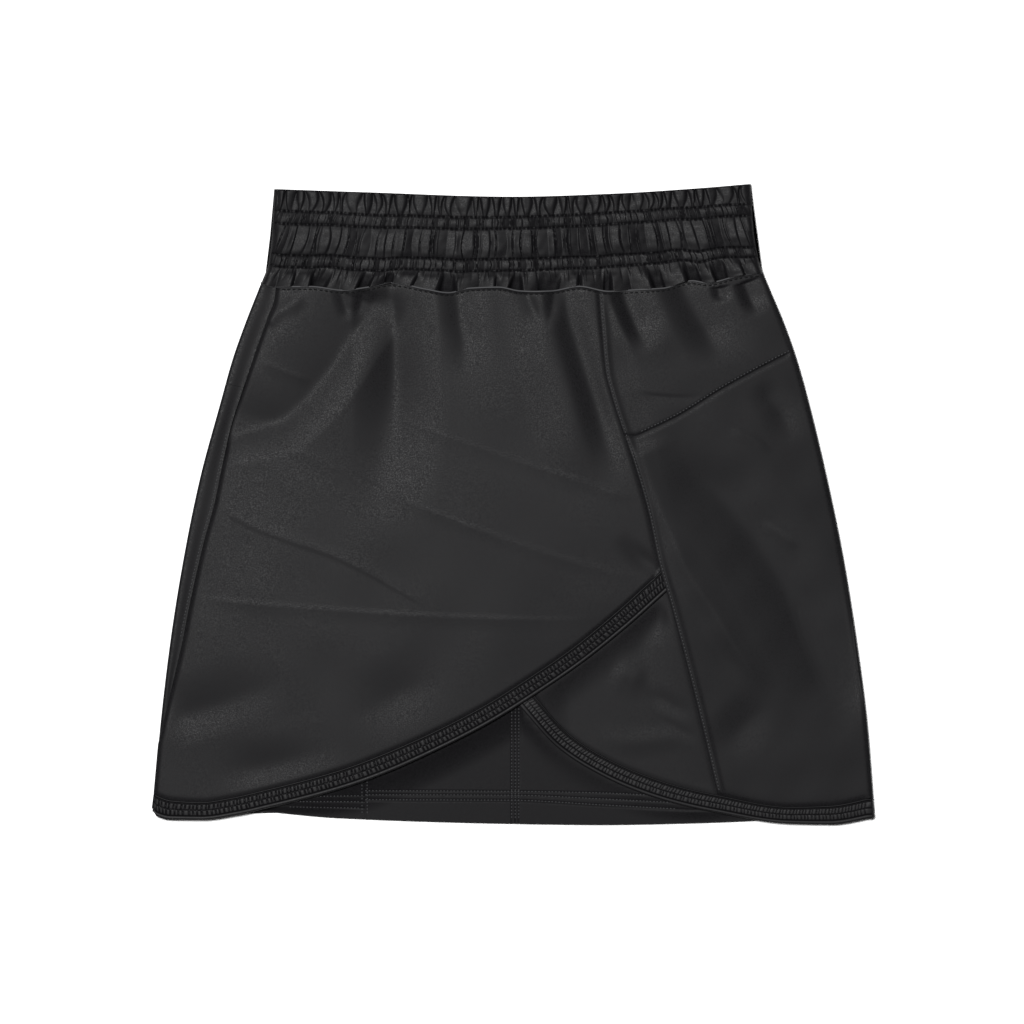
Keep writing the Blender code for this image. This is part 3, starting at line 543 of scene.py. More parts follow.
def wrapHeight(x, y):
    fromLeft, fromWaist, fromHem = x - leftSeam(y), waistSeam(x) - y, y - wrapHemTop(x)
    corner = ease((-x - 105) / 105) * ease((-y - 70) / 110)
    near = ease((x + 20) / 90)
    level = near * frontLevel(y) + (1 - near) * garment["plateau"] - wrapPanel["cornerDrop"] * corner
    climb = np.clip(fromLeft / wrapPanel["besideSeam"], 0, 1)
    level = level - (level - leftLevel(y) - 0.8) * (1 - climb) ** 2
    atWaist = np.minimum(levels["atWaist"], level + 0.2)
    level = atWaist + (level - atWaist) * dome(fromWaist, 3)
    level = leftLevel(y) - 0.4 + (level - leftLevel(y) + 0.4) * dome(fromLeft, 3)
    inside = np.minimum.reduce([fromLeft + 3, fromWaist + 4, fromHem + 8])
    folds = creased(x, y, wrapPanel["creases"]) * ease(0.15 + inside / 7)
    ground = np.minimum(garment["lowest"], level - 0.2)
    return keptAbove(level + folds + 0.12 * roughness(x, y, 46, 2), ground)


def seamDip(inside, depth=0.55, run=1.1):  # cloth that turns down into a seam
    return -depth * bell(np.maximum(inside, 0), run)


def makeWrapPanel():
    u = np.concatenate([[0, 0.003, 0.007, 0.012], np.linspace(0.018, 1, wrapPanel["columns"])])
    v = np.concatenate([[0, 0.002, 0.005], np.linspace(0.009, 1, wrapPanel["rows"])])
    plan = panelPlan(shifted(waistSeam, -seamGap), wrapHemTop, shifted(leftSeam, seamGap),
                     shifted(princessSeam, -seamGap), u, v)
    x, y = plan[..., 0], plan[..., 1]
    height = wrapHeight(x, y)
    for inside in (x - leftSeam(y), princessSeam(y) - x, waistSeam(x) - y, y - wrapHemTop(x)):
        height = height + seamDip(inside)
    return clothPiece("wrapPanel", "front_wrap_panel", raised(plan, height), materials["shellCloth"],
                      "shell_fabric")


def makeWrapHemBand():
    along = np.linspace(0, 1, wrapHem["columns"])
    plan = bandPlan(wrapHem, along)
    plan[:, -1, 0] = princessSeam(plan[:, -1, 1]) - seamGap
    middle = wrapHeight(plan[..., 0], plan[..., 1])
    outer = raised(plan, middle + wrapHem["above"] + bandRelief(wrapHem, along))
    inner = raised(plan[::-6], middle[::-6] - wrapHem["below"])
    inner[0, :, 2] += 0.3  # the back of its lower edge is rounded off
    loops = np.concatenate([outer, inner]).transpose(1, 0, 2)
    return wrappedPiece("wrapHemBand", loops, materials["shirredBand"], "hem_band_fabric", ["wrap_hem_band"])


# Under panel, which shows below the wrap panel at the right.

underPanel = {
    "hiddenColumns": 14, "columns": 120, "shownFrom": 0.42,  # from left to right
    "hiddenRows": 12, "rows": 108, "shownBelow": 0.4,  # from the waist down
    "underRoof": 1.3, "clearance": 0.95,  # how far it stays below the wrap panel
    "creases": [
        ([(79, -115), (98, -124), (112, -134)], -0.35, 8, 7, 1.5, 1.8, 0.4, 0.4),
        ([(47, -140), (74, -147), (98, -145), (115, -151)], 0.35, 8, 9, 3, 1.8, 0.4, 0.4),
        ([(85, -130), (105, -141), (116, -147)], -0.3, 5, 6, 1.5, 1.8, 0.5, 0.4),
        ([(60, -102), (84, -110)], 0.5, 14, 14, 3, 1.8, 0.4, 0.4),
    ],
}


def makeUnderPanel():
    shown, low = underPanel["shownFrom"], underPanel["shownBelow"]
    u = np.concatenate([np.linspace(0, shown, underPanel["hiddenColumns"], endpoint=False),
                        np.linspace(shown, 1, underPanel["columns"])])
    v = np.concatenate([np.linspace(0, low, underPanel["hiddenRows"], endpoint=False),
                        np.linspace(low, 1, underPanel["rows"])])
    plan = panelPlan(shifted(waistSeam, -0.3), underHemTop, shifted(leftSeam, 0.3),
                     shifted(princessSeam, -seamGap), u, v)
    x, y = plan[..., 0], plan[..., 1]
    edges = (princessSeam(y) - x, y - underHemTop(x))
    below = wrapHemLow(x) - y
    roof = wrapHeight(x, wrapHemLow(x)) - underPanel["underRoof"]
    height = underBandLevel(x)
    sag = 1 - 0.8 * bell(below - 10, 14) * ease(edges[0] / 12)
    atSeam = (1 - ease(edges[0] / 28)) * dome(edges[1], 10) * sag
    height = height + (frontLevel(y) - 0.8 - height) * atSeam
    lifted = np.clip(1 - np.abs(below) / 22, 0, 1) ** 2.1 * dome(edges[1], 8)
    height = height + np.maximum(roof - height, 0) * lifted
    height = height + creased(x, y, underPanel["creases"]) * ease(edges[1] / 4 + 0.2)
    for edge in edges:
        height = height + seamDip(edge, 0.3)
    above = wrapHeight(x, np.maximum(y, wrapHemLow(x)))
    covered = np.minimum(height, above - underPanel["clearance"])
    height = height + (covered - height) * ease((2 - below) / 4)
    return clothPiece("underPanel", "front_under_panel", raised(plan, height), materials["shellCloth"],
                      "shell_fabric")


# Yoke and panel of the right side, which turn round the right edge.

sideYoke = {
    "columns": 80, "rows": 86,
    "creases": [
        ([(58.5, 138), (60.1, 127), (62.3, 121.8), (66.3, 111.9), (70.7, 102), (75, 93.3), (80, 80)],
         0.5, 14, 5, 1, 2.0, 0.01, 0.5),
        ([(67, 138), (69.5, 127), (75.5, 111.9), (80.5, 102), (85, 93.3)], -2.3, 20, 9, 3, 1.8, 0.01, 0.5),
        ([(104, 140), (107.5, 129.3), (113, 119.4), (120, 108.2), (125, 97), (128.5, 84)],
         -2.1, 24, 15, 5, 1.8, 0.01, 0.45),
        ([(127, 135), (129, 124)], -1.4, 8, 5, 1.5, 1.8, 0.05, 0.6),
        ([(143, 138), (146.5, 129), (152, 115.6)], -1.8, 12, 7, 1.6, 1.8, 0.03, 0.6),
        ([(74, 70), (88, 67), (105, 66), (124, 68)], -0.35, 2.5, 7, 0.5, 1.8, 0.3, 0.7),
    ],
}
sidePanel = {
    "columns": 102, "rows": 160,
    "creases": [
        ([(76.3, 38), (81, 25), (86.2, 10.2), (98.6, -19.5), (108.5, -41.9), (123.4, -64.2), (138.3, -89),
          (160, -118)], 1.1, 26, 12, 1.5, 1.8, 0.05, 0.2),
        ([(88, 44), (100, 33), (114, 19), (133, 0), (148, -18), (160, -37), (172, -57), (183, -76),
          (193, -96), (205, -116), (222, -136)], -2.4, 30, 26, 6, 1.8, 0.25, 0.2),
        ([(133, 47), (147, 42), (161, 33)], 0.22, 1.8, 8, 0.5, 1.8, 0.3, 0.3),
        ([(154, -10), (166, -18), (178, -27)], 0.22, 1.8, 8, 0.5, 1.8, 0.3, 0.3),
        ([(166, -119), (146, -134), (127, -156)], -0.8, 16, 16, 5, 1.8, 0.45, 0.5),
        ([(150, 76), (164, 60), (176, 36)], -0.8, 12, 12, 3, 1.8, 0.3, 0.5),
    ],
}
seamStrip = {"width": 1.9, "height": 0.45}  # cloth lifted by the seam allowance of the princess seam
nearSeam = np.array([0, 0.35, 0.75, 1.15, 1.5, 1.85, 2.25, 2.8]) / 108  # fine columns beside that seam


def foldLine(edge, side, halfWall, reach):  # where the flat cloth begins to turn round a side
    return lambda y: edge(y) - side * (reach + halfWall)


def followed(turn, y, upper, lower, v):  # columns round a side that keep between the piece's edges
    v, rows = v[:, None], np.array(y)[:, None]
    for _ in range(6):
        x, z = turn(rows)
        rows = (1 - v) * upper(x) + v * lower(x)
    return np.stack([x, rows, z], axis=-1)


turnAngles = np.radians(np.append(np.arange(165, -1, -15), 0))  # round the right side, then flat


def rightTurn(level, halfWall):
    turn, radius, reach = turnAngles[None, :], garment["rightFold"], garment["rightReach"]

    def path(y):
        x = foldLine(rightEdge, 1, halfWall, reach)(y) + reach * np.sin(turn)
        x[:, -1:] = (rightEdge(y) - garment["rightReturn"])[:, -1:]
        return x, np.broadcast_to(level + radius * (1 - np.cos(turn)), x.shape)

    return path


def sideHeight(x, y, piece):
    start, end = princessSeam(y), foldLine(rightEdge, 1, wall / 2, garment["rightReach"])(y)
    fromWaist, fromHem = waistSeam(x) - y, y - underHemTop(x)
    atFold, atHem = wall / 2 + 2 * garment["rightFold"], underBandLevel(x)
    level = frontLevel(y) - (frontLevel(y) - atFold - 0.4) * (1 - np.clip((end - x) / 100, 0, 1)) ** 1.25
    atWaist = np.minimum(levels["atWaist"], level + 0.2)
    level = atWaist + (level - atWaist) * dome(fromWaist, 3)
    level = atHem + (level - atHem) * dome(fromHem, 7)
    level = atFold + (level - atFold) * dome(end - x, 2)
    inside = np.minimum.reduce([end - x + 2, fromWaist + 4, fromHem + 4])
    folds = creased(x, y, piece["creases"]) * ease(0.15 + inside / 7)
    strip = seamStrip["height"] * (1 - ease((x - start - seamStrip["width"]) / 4))
    ground = np.minimum(garment["lowest"], level - 0.2)
    return keptAbove(level + folds + 0.1 * roughness(x, y, 40, 5), ground) + strip


def makeSidePiece(name, node, piece, upper, lower):
    fold = foldLine(rightEdge, 1, wall / 2, garment["rightReach"])
    v = np.concatenate([[0, 0.004, 0.008], np.linspace(0.013, 0.987, piece["rows"]), [0.992, 0.996, 1]])
    u = np.concatenate([nearSeam, np.linspace(0.034, 1, piece["columns"])])
    plan = panelPlan(upper, lower, shifted(princessSeam, seamGap), fold, u, v)
    x, y = plan[..., 0], plan[..., 1]
    fromSeam = x - princessSeam(y)
    toFold = 1 - ease((x - fold(y) + 6) / 6)
    height = sideHeight(x, y, piece) + seamDip(fromSeam, 0.6, 0.7) - 0.28 * bell(fromSeam - 1.5, 0.5)
    height = height + toFold * (seamDip(upper(x) - y) + seamDip(y - lower(x)))
    turn = followed(rightTurn(wall / 2, wall / 2), plan[:, -1, 1], upper, lower, v)
    return clothPiece(name, node, np.concatenate([raised(plan, height), turn], axis=1),
                      materials["shellCloth"], "shell_fabric")


def makeUnderHemBand():
    half = levels["bandWall"]
    shownFrom, turnsAt = underHem["shownFrom"], underHem["turnsAt"]
    hidden = np.linspace(0, shownFrom, underHem["hiddenColumns"], endpoint=False)
    along = np.concatenate([hidden, np.linspace(shownFrom, turnsAt, underHem["columns"])])
    plan = bandPlan(underHem, along)
    plan[:, 0, 0] = leftSeam(plan[:, 0, 1]) + 0.2
    plan[:, -1, 0] = foldLine(rightEdge, 1, half, garment["rightReach"])(plan[:, -1, 1])
    turn = followed(rightTurn(half, half), plan[:, -1, 1], shifted(underHemTop, -seamGap), underHemLow,
                    bandRows)
    middle = np.concatenate([raised(plan, underBandLevel(plan[..., 0])), turn], axis=1)
    angle = np.concatenate([np.full(len(along), np.pi), turnAngles])
    outward = np.stack([np.sin(angle), np.zeros_like(angle), -np.cos(angle)], axis=-1)
    allAlong = np.concatenate([along, np.linspace(*underHem["turned"], len(turnAngles))])
    shown = np.concatenate([ease(plan[0, :, 0] / 30), np.maximum(-np.cos(turnAngles), 0)])
    relief = bandRelief(underHem, allAlong) * shown
    outer = middle + outward * (half + relief)[..., None]
    inner = (middle - outward * half)[::-6]
    loops = np.concatenate([outer, inner]).transpose(1, 0, 2)
    return wrappedPiece("underHemBand", loops, materials["shirredBand"], "hem_band_fabric",
                        ["under_hem_band"])


# Back, flat where it rests, and turned up round the left side as a narrow strip.

backPieces = {
    "back_yoke": dict(
        name="backYoke", upper=shifted(waistSeam, -seamGap), lower=shifted(backYokeSeam, seamGap),
        columns=60, rows=50, thickness=wall, material="shellCloth", slot="shell_fabric"),
    "back_panel": dict(
        name="backPanel", upper=shifted(backYokeSeam, -seamGap), lower=shifted(backHemTop, seamGap),
        columns=50, rows=70, thickness=wall, material="shellCloth", slot="shell_fabric"),
    "back_hem_band": dict(
        name="backHemBand", upper=shifted(backHemTop, -seamGap), lower=backHemLow,
        columns=120, rows=12, thickness=1.0, material="shirredBand", slot="hem_band_fabric"),
}
backJoin = 0.6  # gap between the back and what turns under from the right side


def leftTurn(level, halfWall):
    run, radius = np.linspace(1, 0.02, 30)[None, :], garment["leftFold"]

    def path(y):
        beyond = stripWidth(y) - seamGap - radius - halfWall
        reach = np.arcsin(np.clip(-beyond / radius, 0, 1))
        stop = np.maximum(np.pi - reach, math.radians(115))
        length = (stop * radius + np.maximum(beyond, 0)) * run
        turn = np.minimum(length / radius, np.pi)
        past = np.maximum(length - np.pi * radius, 0)
        x = foldLine(leftEdge, -1, halfWall, radius)(y) - radius * np.sin(turn) + past
        climb = np.maximum(leftLevel(y) - 1.0 - 2 * radius, 0) * ease(past / np.maximum(beyond, 3))
        return x, level + radius * (1 - np.cos(turn)) + climb

    return path


def makeBackPiece(node, piece):
    half = piece["thickness"] / 2
    v = np.linspace(0, 1, piece["rows"])
    plan = panelPlan(piece["upper"], piece["lower"], foldLine(leftEdge, -1, half, garment["leftFold"]),
                     shifted(rightEdge, -garment["rightReturn"] - backJoin),
                     np.linspace(0, 1, piece["columns"]), v)
    turn = followed(leftTurn(half, half), plan[:, 0, 1], piece["upper"], piece["lower"], v)
    return clothPiece(piece["name"], node, np.concatenate([turn, raised(plan, half)], axis=1),
                      materials[piece["material"]], piece["slot"], piece["thickness"])


# Lining, in three flat pieces with two upright seams.

lining = {
    "hem": [(-222, -183), (-180, -187), (-143, -191.5), (-107, -194.6), (0, -198), (54, -198.7),
            (116, -197.5), (178, -194.5), (222, -190)],
    "seams": (-92.0, 1.5),
    "inset": 2.5,
    "coverStitch": [  # three rows of stitches that hold the turned hem, right of the first seam
        [(-94, -177.4), (-70, -177.6), (0, -178), (54, -178.9), (110, -181.5)],
        [(-94, -180), (-70, -180.1), (0, -180.4), (54, -182.6), (110, -185.4)],
        [(-94, -183.1), (-70, -183.2), (0, -183.5), (54, -186.3), (110, -189.3)]],
    "sideStitch": [  # and left of it
        [(-140, -181), (-94, -180.6)], [(-140, -184), (-94, -184.4)], [(-140, -187.4), (-94, -188.4)]],
    "seamStitch": (-0.8, 1.4, 3.6),  # places of the rows beside the middle seam
    "joinStitch": (-93.6, -90.4),  # and beside the first one
    "groove": 0.3,
    "widths": (130, 93.5, 220), "columns": 44, "rows": (6, 40, 66, 8),
}
liningHem = through(lining["hem"])
coverStitch = [through(row) for row in lining["coverStitch"]]
sideStitch = [through(row) for row in lining["sideStitch"]]


def liningHeight(x, y):
    # the lining hangs from the bands' seams, so it is higher beside them
    atWrap = np.clip(1 - np.abs(wrapHemLow(x) - y) / 21, 0, 1) ** 1.9 * ease((x + 172) / 30)
    atUnder = np.clip(1 - np.abs(underHemLow(x) - y) / 17, 0, 1) ** 1.7
    atUnder = atUnder * ease((x + 12) / 14) * ease((150 - x) / 40)
    atUnder = atUnder * (1.9 + 1.8 * ease((34 - x) / 24))
    rise = np.maximum(atWrap * (4.6 + 0.4 * ease((-22 - x) / 20)) * ease((14 - x) / 8), atUnder)
    height = levels["lining"] + rise * ease((y - liningHem(x)) / 8)
    grooves = 0 * x
    for row in coverStitch:
        grooves = np.maximum(grooves, bell(y - row(x), 0.5) * ease((x + 92.5) / 1))
    for row in sideStitch:
        grooves = np.maximum(grooves, bell(y - row(x), 0.5) * ease((-91.5 - x) / 1))
    for at in lining["seamStitch"]:
        grooves = np.maximum(grooves, bell(x - at, 0.5))
    hemStep = 0.3 * ease((coverStitch[2](x) - 0.6 - y) / 1.0) * ease((x + 92) / 2)
    return height + hemStep - lining["groove"] * grooves


def makeLining():
    first, middle = [straight(at) for at in lining["seams"]]
    edges = ((shifted(leftEdge, lining["inset"]), shifted(first, -seamGap)),
             (shifted(first, seamGap), shifted(middle, -seamGap)),
             (shifted(middle, seamGap), shifted(rightEdge, -lining["inset"])))
    made = []
    a, b, c, d = lining["rows"]
    v = np.concatenate([np.linspace(0, 0.7, a, endpoint=False), np.linspace(0.7, 0.92, b, endpoint=False),
                        np.linspace(0.92, 0.99, c, endpoint=False), np.linspace(0.99, 1, d)])
    for name, node, width, (left, right) in zip(("liningSide", "liningLeft", "liningRight"),
                                                ("lining_side", "lining_left", "lining_right"),
                                                lining["widths"], edges):
        edge = np.arange(0, 5, 0.35) / width  # fine columns beside the seams
        between = np.linspace(5.2 / width, 1 - 5.2 / width, lining["columns"])
        u = np.concatenate([edge, between, 1 - edge[::-1]])
        plan = panelPlan(shifted(waistSeam, -0.3), liningHem, left, right, u, v)
        height = liningHeight(plan[..., 0], plan[..., 1])
        made.append(clothPiece(name, node, raised(plan, height), materials["liningKnit"], "lining_fabric"))
    return made


# Waistband, gathered on four rows of elastic stitching.

waistband = {
    "stitchRows": [  # height of each row at the left end, the middle and the right end
        (182.0, 177.8, 186.1), (174.0, 170.6, 178.9), (154.7, 151.9, 159.0), (147.2, 144.5, 152.8)],
    "bandRows": (20, 13, 28, 13, 24),  # rows of mesh in each band from the top down
    "gathers": (44, 92, 58, 88, 75),
    "stitches": 118,
    "lean": (0.1, 0.9, 0.9, 0.4, 0.6),  # how far gathers lean outwards at the sides, in gathers
    "columns": 790,
    "left": -148.5, "width": 297,
    "under": 2.75, "endWall": 0.8, "body": 2.8,  # underside of the front half, its ends, and its padding
    "backTop": 2.45, "backWall": 0.8,  # top of the back half, and how thin its rounded ends get
    "rounding": 5.0,  # run over which both halves round off at the sides
    "deep": (10, 5, 16, 5, 12),  # depth of each band
    "swell": (0.3, 0.25, 0.75, 0.25), "tall": (1.1, 1.0, 1.45, 1.05), "lowest": (0.3, 0.5, 0.6, 0.5),
    "seed": 21,
    "frill": [  # below the last row: where each fold ends at the seam, and how far it stands out
        (-156, 1.6), (-148, 2.3), (-137, 2.4), (-126, 0.4), (-117, 0.9), (-108, 2.2), (-97, 0.3),
        (-90, 2.1), (-80, 0.0), (-75, 2.4), (-62, 2.3), (-46, 0.2), (-36, 2.4), (-21, 2.1), (-10, 2.3),
        (-2, 0.2), (6, 1.9), (16, 0.2), (29, 2.5), (42, 2.4), (57, 0.0), (61.5, 2.5), (75, 2.3),
        (89, 0.3), (96, 2.4), (110, 0.3), (119, 2.0), (128, 0.4), (135, 2.3), (146, 2.0), (157, 0)],
}


def foldShare(u, valleys):
    k = np.clip(np.searchsorted(valleys, u) - 1, 0, len(valleys) - 2)
    return k, np.clip((u - valleys[k]) / (valleys[k + 1] - valleys[k]), 0, 1)


def puffs(u, valleys, heights, tilts, power):  # raised folds with broad faces and steep sides
    k, t = foldShare(u, valleys)
    s = 2 * t - 1
    return heights[k] * (1 - np.abs(s) ** power) + tilts[k] * s * (1 - s ** 8)


def laps(u, valleys, heights, turned, power=2.6):  # folds that rise gently and drop over the next one
    k, t = foldShare(u, valleys)
    t = np.where(turned[k], 1 - t, t)
    drop = 1 - np.clip((t - 0.82) / 0.18, 0, 1) ** 2
    return heights[k] * (1 - (1 - t) ** power) * drop


def gatherValleys(band):  # valley lines of one band as a function of the way down it
    count = waistband["gathers"][band]
    dice = np.random.default_rng(waistband["seed"] + band)
    base = np.arange(count + 1) + dice.uniform(-0.3, 0.3, count + 1)
    base[0], base[-1] = 0, count
    outward = np.clip(1 - 2 * base / count, -1, 1)
    lean = waistband["lean"][band] * outward * (1 + 0.5 * dice.uniform(-1, 1, count + 1))
    bend = dice.uniform(-0.35, 0.35, count + 1)
    return lambda f: np.maximum.accumulate((base - lean * (f - 0.5) + bend * np.sin(np.pi * f)) / count)


def bandFolds(u, f, band):
    count = waistband["gathers"][band]
    dice = np.random.default_rng(waistband["seed"] + 10 + band)
    heights, tilts = dice.uniform(0.45, 1.0, count), dice.uniform(-0.4, 0.4, count)
    valleys = gatherValleys(band)(f)
    if band:  # broad folds that lap over each other, some with a sharp crest
        crests = 0.5 * (valleys[1:] + valleys[:-1]) + 0.0012
        ridges = puffs(u, crests, 0.22 * (heights[1:] > 0.62), 0 * heights, 2)
        sharp = ridges * bell(foldShare(u, crests)[1] - 0.5, 0.09)
        return laps(u, valleys, heights, dice.uniform(0, 1, count) < 0.38, 1.6) + sharp
    # at the top edge each fold is wide, and narrows to the first row between hanging wedges
    middle, half = (valleys[1:] + valleys[:-1]) / 2, (valleys[1:] - valleys[:-1]) / 2
    part = (0.96 - 0.62 * f) * dice.uniform(0.88, 1.04, count)
    both = np.stack([middle - half * part, middle + half * part], axis=-1).ravel()
    edges = np.concatenate([[0], both, [1]])
    wedges = (1.2 * f - 0.9) * np.roll(heights, 1)
    tall = np.concatenate([[0.4], np.stack([heights, wedges], axis=-1).ravel()])
    lean = np.concatenate([[0], np.stack([tilts, -0.5 * tilts], axis=-1).ravel()])
    return puffs(u, np.maximum.accumulate(edges), tall, lean, 4.0)


def frillFolds(u, f):
    places, heights = np.array(waistband["frill"]).T
    dice = np.random.default_rng(waistband["seed"] + 30)
    lean = dice.uniform(-3.5, 3.5, len(places))
    valleys = np.sort((places + lean * (1 - f) + 157) / 314)
    valleys[0], valleys[-1] = 0, 1
    large = laps(u, valleys, heights[:-1], dice.uniform(0, 1, len(heights)) < 0.35, 1.8)
    hollow = puffs(u, valleys, -3.2 * (heights[:-1] < 0.6), 0 * heights, 5.0) * f ** 1.3
    count = waistband["gathers"][4]
    fine = laps(u, gatherValleys(4)(f), dice.uniform(0.5, 1.0, count), dice.uniform(0, 1, count) < 0.3)
    part = ease(f / 0.75)
    return (1 - part) * 0.8 * fine + (0.2 + 0.8 * part) * large + hollow + 0.15 * fine * (1 - f)


def waistbandSurface(u):
    x = waistband["left"] + waistband["width"] * u
    rows = [through([(-148, a), (-20, b), (148, c)])(x) for a, b, c in waistband["stitchRows"]]
    borders = [0 * u] + [(waistTop(x) - row) / (waistTop(x) - waistSeam(x)) for row in rows] + [0 * u + 1]
    order = waistband["stitches"] * (u + 0.002 * np.sin(61 * u) + 0.0012 * np.sin(173 * u))
    pits = (0.24 + 0.12 * np.sin(2.3 * np.floor(order + 0.5))) * (1 + np.cos(2 * np.pi * order)) ** 2
    v, rise = [], []
    for band, rows in enumerate(waistband["bandRows"]):
        down = 0.5 - 0.5 * np.cos(np.pi * np.linspace(0, 1, rows, endpoint=band == 4))
        down = 0.5 * down + 0.5 * np.linspace(0, 1, rows, endpoint=band == 4)
        for f in down:
            v.append(borders[band] + (borders[band + 1] - borders[band]) * f)
            fromRow = (f if band else 1) * waistband["deep"][band]
            toRow = (1 - f if band < 4 else 1) * waistband["deep"][band]
            groove = bell(min(fromRow, toRow), 0.34)
            stitch = -groove * (0.05 + pits)
            if band == 4:
                near = min(f / 0.35, 1) ** 0.6
                rise.append(0.35 + 0.3 * near + (0.3 + 0.7 * near) * frillFolds(u, f) + stitch)
                continue
            edge = 0.45 + 0.55 * min(1, f / 0.10) ** 0.5 if band == 0 else 1
            swell, tall, low = waistband["swell"][band], waistband["tall"][band], waistband["lowest"][band]
            bulge = (f / low) ** 0.8 if f < low else ((1 - f) / (1 - low)) ** 0.8
            if band == 0:
                bulge = min(1, (1 - f) / 0.45) ** 0.8
            bulge = math.sin(0.5 * math.pi * bulge)
            folds = (0.35 + 0.65 * bulge) * edge * tall * bandFolds(u, f, band)
            rise.append(0.3 + bulge * swell + folds + stitch)
    return np.array(v), np.array(rise)


def roundedEnds(u):  # quarter rounds at both sides of the waistband
    inward = np.clip(np.minimum(u, 1 - u) * (waistband["width"] - 1) / waistband["rounding"], 0, 1)
    return np.sqrt(1 - (1 - inward) ** 2)


def makeWaistbandFront():
    u = np.concatenate([[0], np.linspace(0.0015, 0.9985, waistband["columns"]), [1]])
    v, rise = waistbandSurface(u)
    down = np.linspace(0, 1, 200)
    flat = panelPlan(waistTop, shifted(waistSeam, seamGap), leftEdge, rightEdge, u, down)
    plan = np.empty(v.shape + (2,))
    for c in range(len(u)):
        for k in (0, 1):
            plan[:, c, k] = np.interp(v[:, c], down, flat[:, c, k])
    rise = rise + 0.13 * roughness(plan[..., 0], plan[..., 1], 8, 13) * ease((1 - v) / 0.03)
    outer = raised(plan, waistband["under"] + waistband["endWall"]
                   + roundedEnds(u) * (waistband["body"] + rise))
    inner = raised(plan[::-16], waistband["under"])
    loops = np.concatenate([outer, inner]).transpose(1, 0, 2)
    return wrappedPiece("waistbandFront", loops, materials["gatheredCloth"], "waistband_fabric",
                        ["waistband_front"])


def makeWaistbandBack():
    u = np.concatenate([[0, 0.002, 0.005, 0.010, 0.014], np.linspace(0.02, 0.98, 80),
                        [0.986, 0.99, 0.995, 0.998, 1]])
    plan = panelPlan(waistTop, shifted(waistSeam, seamGap), leftEdge, rightEdge, u, np.linspace(0, 1, 40))
    low = (waistband["backTop"] - waistband["backWall"]) * (1 - roundedEnds(u))
    outer = raised(plan, waistband["backTop"])
    inner = raised(plan[::-1], low)
    loops = np.concatenate([outer, inner]).transpose(1, 0, 2)
    return wrappedPiece("waistbandBack", loops, materials["gatheredCloth"], "waistband_fabric",
                        ["waistband_back"])


pieces = {}
pieces["wrapPanel"] = makeWrapPanel()
pieces["wrapHemBand"] = makeWrapHemBand()
pieces["underPanel"] = makeUnderPanel()
pieces["underHemBand"] = makeUnderHemBand()
pieces["sideYoke"] = makeSidePiece("sideYoke", "front_side_yoke", sideYoke, shifted(waistSeam, -seamGap),
                                   shifted(yokeSeam, seamGap))
pieces["sidePanel"] = makeSidePiece("sidePanel", "front_side_panel", sidePanel, shifted(yokeSeam, -seamGap),
                                    underHemTop)
for node, piece in backPieces.items():
    pieces[piece["name"]] = makeBackPiece(node, piece)
for piece in makeLining():
    pieces[piece.name] = piece
pieces["waistbandFront"] = makeWaistbandFront()
pieces["waistbandBack"] = makeWaistbandBack()
print("cloth made:", len(pieces), "pieces")


# Sewing that shows: stitches, and the piping on the waist seam.

treesMade = {}


def surfaceOver(names):  # height of the named pieces at a place, looking down on them
    if tuple(names) in treesMade:
        return treesMade[tuple(names)]
    settled = bpy.context.evaluated_depsgraph_get()
    points, faces = [], []
    for name in names:
        seen = pieces[name].evaluated_get(settled)
        mesh = seen.to_mesh()
        faces += [[len(points) + k for k in face.vertices] for face in mesh.polygons]
        points += [tuple(vertex.co / mm) for vertex in mesh.vertices]
        seen.to_mesh_clear()
    tree = BVHTree.FromPolygons(points, faces)

    def height(x, y):
        hit = tree.ray_cast(Vector((x, y, 60)), Vector((0, 0, -1)))[0]
        return None if hit is None else hit.z

    treesMade[tuple(names)] = height
    return height


def spaced(line, pitch):  # places every so many mm along a path
    line = np.array(line, float)
    length = np.concatenate([[0], np.cumsum(np.hypot(*np.diff(line, axis=0).T))])
    even = np.arange(0, length[-1], pitch)
    return np.stack([np.interp(even, length, line[:, k]) for k in (0, 1)], axis=-1)


sewing = {  # pitch, length and radius of the stitches, how far they bow up, and their thread
    # seam and cover stitches use the thread whose lighter colour is painted highlight
    "seam": dict(pitch=2.2, length=1.3, radius=0.4, lift=0.05, material="threadPaintedHighlight"),
    "waist": dict(pitch=3.3, length=2.2, radius=0.45, lift=0.05, material="thread"),
    "cover": dict(pitch=2.1, length=1.15, radius=0.42, lift=0.1, material="threadPaintedHighlight"),
}
stitchRings = [(-1, 0.35), (-0.75, 0.85), (0, 1), (0.75, 0.85), (1, 0.35)]  # place along it, share of radius
stitchSides = 6


